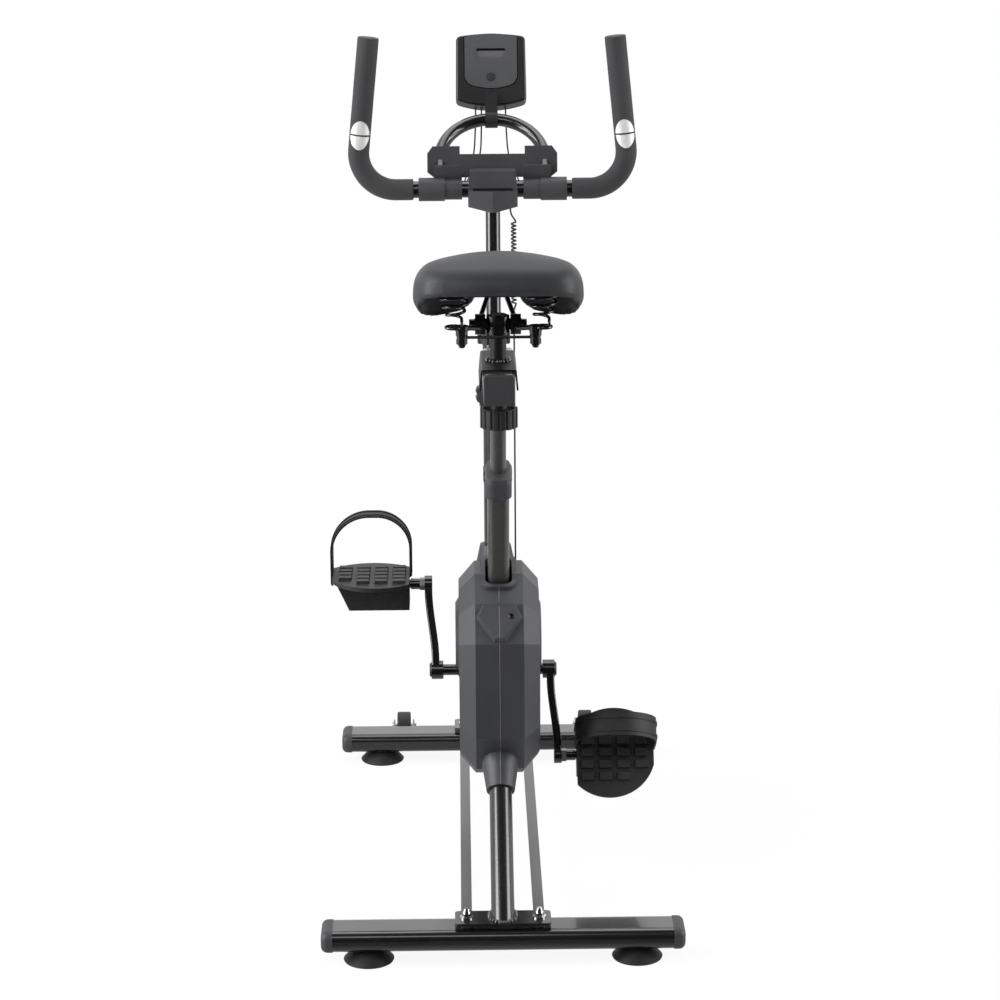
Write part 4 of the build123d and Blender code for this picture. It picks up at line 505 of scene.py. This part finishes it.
def swellSaddle(obj, even):   # cloth under pressure, held within the cap
    cloth = obj.modifiers.new("swell", "CLOTH")
    cloth.settings.use_pressure = True
    cloth.settings.uniform_pressure_force = saddle["pressure"]
    cloth.settings.effector_weights.gravity = 0
    cloth.point_cache.frame_start = 1
    cloth.point_cache.frame_end = saddle["frames"]
    scene = bpy.context.scene
    for f in range(1, saddle["frames"] + 1):
        scene.frame_set(f)
    swelled = bakedMesh(obj)
    rest = np.array([v.co for v in even.vertices])
    shift = np.array([v.co for v in swelled.vertices]) - rest
    obj.modifiers.clear()
    scene.frame_set(1)
    bpy.data.meshes.remove(swelled)
    far = np.linalg.norm(shift, axis=1)
    shift *= np.minimum(1.0, saddle["cap"] / np.maximum(far, 1e-9))[:, None]
    tilts = np.array([v.normal.z for v in even.vertices])
    free = np.clip((tilts - saddle["under"]) / saddle["underSpan"], 0, 1)[:, None]   # the hollow keeps its place
    even.vertices.foreach_set("co", (rest + shift * free).astype(np.float32).ravel())


def roundSaddle(even):
    bm = bmesh.new()
    bm.from_mesh(even)
    for v in bm.verts:   # the rear rises in one round sweep
        near = shareOf(v.co.y, saddle["front"], saddle["back"])
        high = shareOf(v.co.z, saddle["rim"], saddle["crown"])
        v.co.y += saddle["dome"] * near * (1 - math.sqrt(1 - high * high))
    lower = [v for v in bm.verts if v.normal.z < saddle["upper"]]
    stages = [(bm.verts[:], saddle["rounds"]), (lower, saddle["rimRounds"])]
    for reach, rounds in saddle["upperRounds"]:
        stages.append(([v for v in bm.verts if v.normal.z > saddle["upper"] and v.co.y < reach], rounds))
    for verts, rounds in stages:
        for step in range(rounds):
            bmesh.ops.smooth_vert(bm, verts=verts, factor=saddle["ease"], use_axis_x=True, use_axis_y=True,
                                  use_axis_z=True)
    for face in bm.faces:
        face.smooth = True
    bm.to_mesh(even)
    bm.free()


def markHollowShade(mesh):   # points that see the saddle itself above them, or face down, get painted shade
    tree = BVHTree.FromPolygons([v.co for v in mesh.vertices], [p.vertices for p in mesh.polygons])
    sky = Vector((0, 0, saddle["skyPull"]))
    shadeMarks = [1.0 if tree.ray_cast(v.co + v.normal * saddle["lift"], (v.normal + sky).normalized(), saddle["reach"])[0]
              or v.normal.z < saddle["below"] else 0.0 for v in mesh.vertices]
    mesh.attributes.new("hollowShade", "FLOAT", "POINT").data.foreach_set("value", shadeMarks)


def makeSaddle():
    source = nodes["saddle_cover"].data.copy()
    bm = bmesh.new()
    bm.from_mesh(source)
    bmesh.ops.remove_doubles(bm, verts=bm.verts, dist=saddle["merge"])
    bm.to_mesh(source)
    bm.free()
    obj = linkMesh("saddlePad", source, "saddleSkin", None, "leather")
    remesh = obj.modifiers.new("voxels", "REMESH")
    remesh.mode = "VOXEL"
    remesh.voxel_size = saddle["voxel"]
    remesh.use_smooth_shade = True
    even = bakedMesh(obj)
    obj.modifiers.clear()
    obj.data = even
    even.materials.clear()
    even.materials.append(mats["saddleSkin"])
    swellSaddle(obj, even)
    even.update()
    roundSaddle(even)
    finer = obj.modifiers.new("finer", "SUBSURF")
    finer.levels = 1
    finer.render_levels = 1
    done = bakedMesh(obj)
    obj.modifiers.clear()
    obj.data = done
    for poly in done.polygons:
        poly.use_smooth = True
    markHollowShade(done)
    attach(obj, "slider")
    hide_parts("saddle_cover")
    return obj


saddlePad = makeSaddle()
print("saddle", len(saddlePad.data.vertices), "points")


# saddle springs: conical wires, finer than the solids
spring = {"x": 0.058, "y": -0.351, "low": 0.874, "top": 0.926, "wire": 0.0022, "narrow": 0.009, "wide": 0.022,
          "turns": 3, "step": 20, "foot": 0.009, "lowY": -0.007, "topY": 0.008,
          "ends": (0.0022, 0.0045, 0.0075), "lowLean": 0.002, "topLean": 0.0015, "smooth": 3, "sides": 12}


def springLine(side):
    low, high = spring["low"] + spring["foot"], spring["top"] - spring["foot"]
    first, second, third = spring["ends"]
    start = Vector((side * spring["x"] + spring["narrow"], spring["y"] + spring["lowY"], spring["low"]))
    line = [start, start + Vector((0, 0, first)), start + Vector((0, 0, second)),
            start + Vector((0, spring["lowLean"], third))]
    count = spring["turns"] * spring["step"]
    for k in range(count + 1):
        share = k / count
        turn = 2 * math.pi * spring["turns"] * share
        wide = spring["narrow"] + (spring["wide"] - spring["narrow"]) * share
        line.append(Vector((side * spring["x"] + wide * math.cos(turn), spring["y"] + wide * math.sin(turn),
                            low + (high - low) * share)))
    end = Vector((side * spring["x"] + spring["wide"], spring["y"] + spring["topY"], spring["top"]))
    line += [end - Vector((0, spring["topLean"], third)), end - Vector((0, 0, second)), end - Vector((0, 0, first)),
             end]
    return smoothLine(line, spring["smooth"])


springMesh = tubeMesh("saddleSprings", [springLine(-1), springLine(1)], spring["wire"], spring["sides"])
linkMesh("saddleSprings", springMesh, "powderBlack", "slider", "black_paint", "saddle_springs")
print("springs", len(springMesh.vertices), "points")


# curly cord beside the front tube; its straight runs are set off across, fore and along the tube
cordSet = {"x": 0.031, "curl": 0.0034, "pitch": 0.0056, "count": 22, "wire": 0.0013, "top": 0.05, "step": 12,
           "smooth": 4, "sides": 8, "blendLow": 0.02, "blendTop": 0.015,
           "head": ((-0.005, -0.005, -0.0255), (-0.005, -0.005, -0.029)),   # from the bar
           "neck": ((-0.004, -0.0055, 0.012), (0.002, -0.006, 0.004)),   # from the first curl
           "tail": ((0.002, 0.006, -0.004), (0.0, 0.0078, -0.012), (0.0, 0.008, -0.03), (0.0, 0.008, -0.12)),
           "entry": ((0.0, 0.008, 0.276), (0.0, 0.008, 0.196))}   # from the tube's foot


def postPoint(x, y, s):
    return postFoot + Vector((x, 0, 0)) + postFore * y + postDir * s


def cordRun(offsets, s):
    return [postPoint(cordSet["x"] + x, y, s + rise) for x, y, rise in offsets]


def makeCurlyCord():
    topS = stemGap - cordSet["top"]
    low = topS - cordSet["pitch"] * cordSet["count"]
    line = cordRun(cordSet["head"], stemGap) + cordRun(cordSet["neck"], topS)
    for k in range(cordSet["count"] * cordSet["step"] + 1):
        turn = 2 * math.pi * k / cordSet["step"]
        line.append(postPoint(cordSet["x"] + cordSet["curl"] * math.cos(turn), cordSet["curl"] * math.sin(turn),
                              topS - cordSet["pitch"] * k / cordSet["step"]))
    line += cordRun(cordSet["tail"], low) + cordRun(cordSet["entry"], 0.0)
    path = smoothLine(line, cordSet["smooth"])
    mesh = tubeMesh("curlyCord", [path], cordSet["wire"], cordSet["sides"])
    obj = linkMesh("curlyCord", mesh, "cordBlack", None, "rubber", "coil_cord")
    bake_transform(obj)
    return obj


curlyCord = makeCurlyCord()
print("curly cord", len(curlyCord.data.vertices), "points")


# console leads below the loop
leadSet = {"wire": 0.0012, "smooth": 14, "sides": 8, "loopReach": 0.14, "loopLean": 50.0, "faceLean": 25.0,
           "foot": (0, 0.008, 0.019), "inset": 0.014, "tuck": 0.004, "drop": 0.024, "spread": 1.15,
           "sag": (0.084, 0.03), "near": (0.046, 0.004), "end": 0.0122,   # fore of the bar, and above it
           "runs": (("consoleLeadLeft", -0.024, -0.0436), ("consoleLeadInner", -0.015, -0.0404),
                    ("consoleLeadRight", 0.022, 0.042))}


def leadLine(startX, endX):
    faceUp = leanDir(leadSet["faceLean"])
    faceOut = Vector((0, -faceUp.z, faceUp.y))
    consoleFoot = barPoint + leanDir(leadSet["loopLean"]) * leadSet["loopReach"] + Vector(leadSet["foot"])
    begin = consoleFoot - faceOut * leadSet["inset"] + Vector((startX, 0, 0))
    (sagFore, sagUp), (nearFore, nearUp) = leadSet["sag"], leadSet["near"]
    return smoothLine([begin + faceUp * leadSet["tuck"], begin - faceUp * leadSet["drop"],
                       Vector((startX * leadSet["spread"], barPoint.y + sagFore, barPoint.z + sagUp)),
                       Vector((endX, barPoint.y + nearFore, barPoint.z + nearUp)),
                       Vector((endX, barPoint.y + leadSet["end"], barPoint.z))], leadSet["smooth"])


for name, startX, endX in leadSet["runs"]:
    leadPath = leadLine(startX, endX)
    leadMesh = tubeMesh(name, [leadPath], leadSet["wire"], leadSet["sides"])
    lead = linkMesh(name, leadMesh, "cordBlack", "bar", "rubber", "console_wires")


# foam grips along the bar ends
gripSet = {"radius": 0.0157, "half": 0.206, "tuck": 0.023, "rise": 0.224, "bend": 0.055, "end": 0.119, "sides": 28,
           "swell": 0.0004, "lumps": 60.0, "lid": 0.003, "upRows": 16, "bendRows": 20, "inRows": 4,
           "merge": 0.00002, "corner": 1.0, "edge": 0.0018, "edgeRows": 3}


def gripPath(side):
    corner = Vector((side * gripSet["half"], barPoint.y, barPoint.z))
    up = Vector((-side * gripSet["tuck"], 0, gripSet["rise"]))
    upDir = up.normalized()
    inDir = Vector((-side, 0, 0))
    turn = math.pi - upDir.angle(inDir)
    reach = gripSet["bend"] * math.tan(turn / 2)
    first, last = corner + upDir * reach, corner + inDir * reach
    centre = corner + (upDir + inDir).normalized() * (gripSet["bend"] / math.cos(turn / 2))
    top = corner + up + upDir * gripSet["lid"]
    line = [top.lerp(first, k / gripSet["upRows"]) for k in range(gripSet["upRows"])]
    a, b = first - centre, last - centre
    for k in range(gripSet["bendRows"] + 1):
        share = k / gripSet["bendRows"]
        line.append(centre + (a * math.sin((1 - share) * turn) + b * math.sin(share * turn)) / math.sin(turn))
    foot = Vector((side * gripSet["end"], barPoint.y, barPoint.z))
    line += [last.lerp(foot, k / gripSet["inRows"]) for k in range(1, gripSet["inRows"] + 1)]
    return line


def makeFoamTree():   # round sleeve along a path, with a faintly lumpy skin
    tree, keys, gin, gout = newNodesTree("foamSleeve", ("Radius", "Swell"))
    toCurve = tree.nodes.new("GeometryNodeMeshToCurve")
    ring = tree.nodes.new("GeometryNodeCurvePrimitiveCircle")
    ring.inputs["Resolution"].default_value = gripSet["sides"]
    sleeve = tree.nodes.new("GeometryNodeCurveToMesh")
    sleeve.inputs["Fill Caps"].default_value = True
    lumps = tree.nodes.new("ShaderNodeTexNoise")
    lumps.inputs["Scale"].default_value = gripSet["lumps"]
    normal = tree.nodes.new("GeometryNodeInputNormal")
    amount = mathNode(tree, "MULTIPLY", lumps.outputs["Fac"], gin.outputs["Swell"])
    outward = addNode(tree, "ShaderNodeVectorMath", operation="SCALE")
    shift = tree.nodes.new("GeometryNodeSetPosition")
    links = tree.links
    links.new(gin.outputs["Geometry"], toCurve.inputs["Mesh"])
    links.new(gin.outputs["Radius"], ring.inputs["Radius"])
    links.new(toCurve.outputs["Curve"], sleeve.inputs["Curve"])
    links.new(ring.outputs["Curve"], sleeve.inputs["Profile Curve"])
    links.new(sleeve.outputs["Mesh"], shift.inputs["Geometry"])
    links.new(normal.outputs["Normal"], outward.inputs[0])
    links.new(amount, outward.inputs["Scale"])
    links.new(outward.outputs["Vector"], shift.inputs["Offset"])
    endTree(tree, shift.outputs["Geometry"], "gripFoam", gout)
    return tree, keys


def makeGrips():
    points, edges = [], []
    for side in (-1, 1):
        line = gripPath(side)
        edges += [(len(points) + i, len(points) + i + 1) for i in range(len(line) - 1)]
        points += [tuple(p) for p in line]
    tree, keys = makeFoamTree()
    made = runTree("gripPaths", tree, keys, {"Radius": gripSet["radius"], "Swell": gripSet["swell"]}, points, edges)
    bm = bmesh.new()
    bm.from_mesh(made)
    bmesh.ops.remove_doubles(bm, verts=bm.verts, dist=gripSet["merge"])
    bmesh.ops.recalc_face_normals(bm, faces=bm.faces)
    rims = [e for e in bm.edges if len(e.link_faces) == 2 and e.calc_face_angle() > gripSet["corner"]]
    bmesh.ops.bevel(bm, geom=rims, offset=gripSet["edge"], segments=gripSet["edgeRows"], affect="EDGES", profile=0.5)
    for face in bm.faces:
        face.smooth = True
    bm.to_mesh(made)
    bm.free()
    obj = linkMesh("foamGrips", made, "gripFoam", "bar", "foam", "grips")
    return obj


foamGrips = makeGrips()
print("grips", len(foamGrips.data.vertices), "points")


# fine parting line where the casing's halves meet at the rear, in a lighter grey that is a painted highlight on its
# lip
partLine = {"wire": 0.0004, "low": 0.2, "high": 0.64, "step": 0.002, "jump": 0.006, "sides": 6, "behind": -1.0,
            "aside": 0.0006, "least": 8}


def makePartLine():
    walls = []
    for name, x in (("casing_left", -partLine["aside"]), ("casing_right", partLine["aside"])):
        mesh = nodes[name].data
        wall = BVHTree.FromPolygons([v.co for v in mesh.vertices], [p.vertices for p in mesh.polygons])
        walls.append((wall, Vector((x, 0, 0))))
    runs, run = [], []
    count = round((partLine["high"] - partLine["low"]) / partLine["step"])
    for k in range(count + 1):
        start = Vector((0, partLine["behind"], partLine["low"] + k * partLine["step"]))
        hits = [wall.ray_cast(start + aside, Vector((0, 1, 0)))[0] for wall, aside in walls]
        point = Vector((0, max(h.y for h in hits), start.z)) if all(hits) else None
        if run and (point is None or abs(point.y - run[-1].y) > partLine["jump"]):
            runs.append(run)
            run = []
        if point:
            run.append(point)
    lines = [r for r in runs + [run] if len(r) > partLine["least"]]
    mesh = tubeMesh("partLine", lines, partLine["wire"], partLine["sides"])
    print("parting line", [len(r) for r in lines])
    return linkMesh("partLine", mesh, "seamHighlightGrey", "frame", "dark_plastic")


makePartLine()


# rear leg's foot, run down on to the plate inside its weld
legFoot = {"radius": 0.0161, "start": (0.0, -0.423, 0.057), "up": 0.03, "down": 0.036, "plate": 0.0601, "sides": 48,
           "rows": 20, "lidCorners": 6}


def makeLegFoot():
    start = Vector(legFoot["start"])
    along = (Vector(bike["bracket"]) - start).normalized()
    low, high = start - along * legFoot["down"], start + along * legFoot["up"]
    line = [low.lerp(high, k / legFoot["rows"]) for k in range(legFoot["rows"] + 1)]
    mesh = tubeMesh("legFoot", [line], legFoot["radius"], legFoot["sides"])
    bm = bmesh.new()
    bm.from_mesh(mesh)
    everything = bm.verts[:] + bm.edges[:] + bm.faces[:]
    cut = bmesh.ops.bisect_plane(bm, geom=everything, plane_co=(0, 0, legFoot["plate"]), plane_no=(0, 0, 1),
                                 clear_inner=True)
    bmesh.ops.contextual_create(bm, geom=[e for e in cut["geom_cut"] if isinstance(e, bmesh.types.BMEdge)])
    bmesh.ops.recalc_face_normals(bm, faces=bm.faces)
    for face in bm.faces:
        face.smooth = len(face.verts) < legFoot["lidCorners"]
    for edge in bm.edges:
        edge.smooth = all(face.smooth for face in edge.link_faces)
    bm.to_mesh(mesh)
    bm.free()
    return linkMesh("legFoot", mesh, "powderBlack", "frame", "black_paint")


print("leg foot", len(makeLegFoot().data.vertices), "points")


# weld beads round the rear leg's foot and the saddle post's foot
welds = {"size": 0.0042, "space": 0.0056, "corners": 72, "finer": 3, "seed": 0,
         "least": (0.62, 0.85, 0.7), "most": (0.95, 1.2, 1.0),   # each bead's share of the size
         "runs": (("legWeld", "frame", (0.0, -0.4196, 0.0606), (0.0172, 0.0256)),
                  ("postWeld", "slider", (0.0, -0.284, 0.8128), (0.0136, 0.0136)))}


def makeWeldTree():
    tree, keys, gin, gout = newNodesTree("weldRun", ("Bead Size", "Spacing"))
    toCurve = tree.nodes.new("GeometryNodeMeshToCurve")
    even = addNode(tree, "GeometryNodeResampleCurve", mode="LENGTH")
    bead = tree.nodes.new("GeometryNodeMeshIcoSphere")
    bead.inputs["Subdivisions"].default_value = welds["finer"]
    onPoints = tree.nodes.new("GeometryNodeInstanceOnPoints")
    tangent = tree.nodes.new("GeometryNodeInputTangent")
    aim = addNode(tree, "FunctionNodeAlignRotationToVector", axis="X")
    vary = addNode(tree, "FunctionNodeRandomValue", data_type="FLOAT_VECTOR")
    vary.inputs[0].default_value = welds["least"]
    vary.inputs[1].default_value = welds["most"]
    vary.inputs["Seed"].default_value = welds["seed"]
    links = tree.links
    links.new(gin.outputs["Geometry"], toCurve.inputs["Mesh"])
    links.new(toCurve.outputs["Curve"], even.inputs["Curve"])
    links.new(gin.outputs["Spacing"], even.inputs["Length"])
    links.new(gin.outputs["Bead Size"], bead.inputs["Radius"])
    links.new(even.outputs["Curve"], onPoints.inputs["Points"])
    links.new(bead.outputs["Mesh"], onPoints.inputs["Instance"])
    links.new(tangent.outputs["Tangent"], aim.inputs["Vector"])
    links.new(aim.outputs["Rotation"], onPoints.inputs["Rotation"])
    links.new(vary.outputs[0], onPoints.inputs["Scale"])
    endTree(tree, onPoints.outputs["Instances"], "powderBlack", gout)
    return tree, keys


def makeWeld(tree, keys, name, body, centre, half):
    count = welds["corners"]
    turns = [2 * math.pi * k / count for k in range(count)]
    ring = [(centre[0] + half[0] * math.cos(t), centre[1] + half[1] * math.sin(t), centre[2]) for t in turns]
    edges = [(k, (k + 1) % count) for k in range(count)]
    made = runTree(name + "Path", tree, keys, {"Bead Size": welds["size"], "Spacing": welds["space"]}, ring, edges)
    return linkMesh(name, made, "powderBlack", body, "black_paint")


weldTree, weldKeys = makeWeldTree()
for weldRun in welds["runs"]:
    print("weld", weldRun[0], len(makeWeld(weldTree, weldKeys, *weldRun).data.vertices), "points")
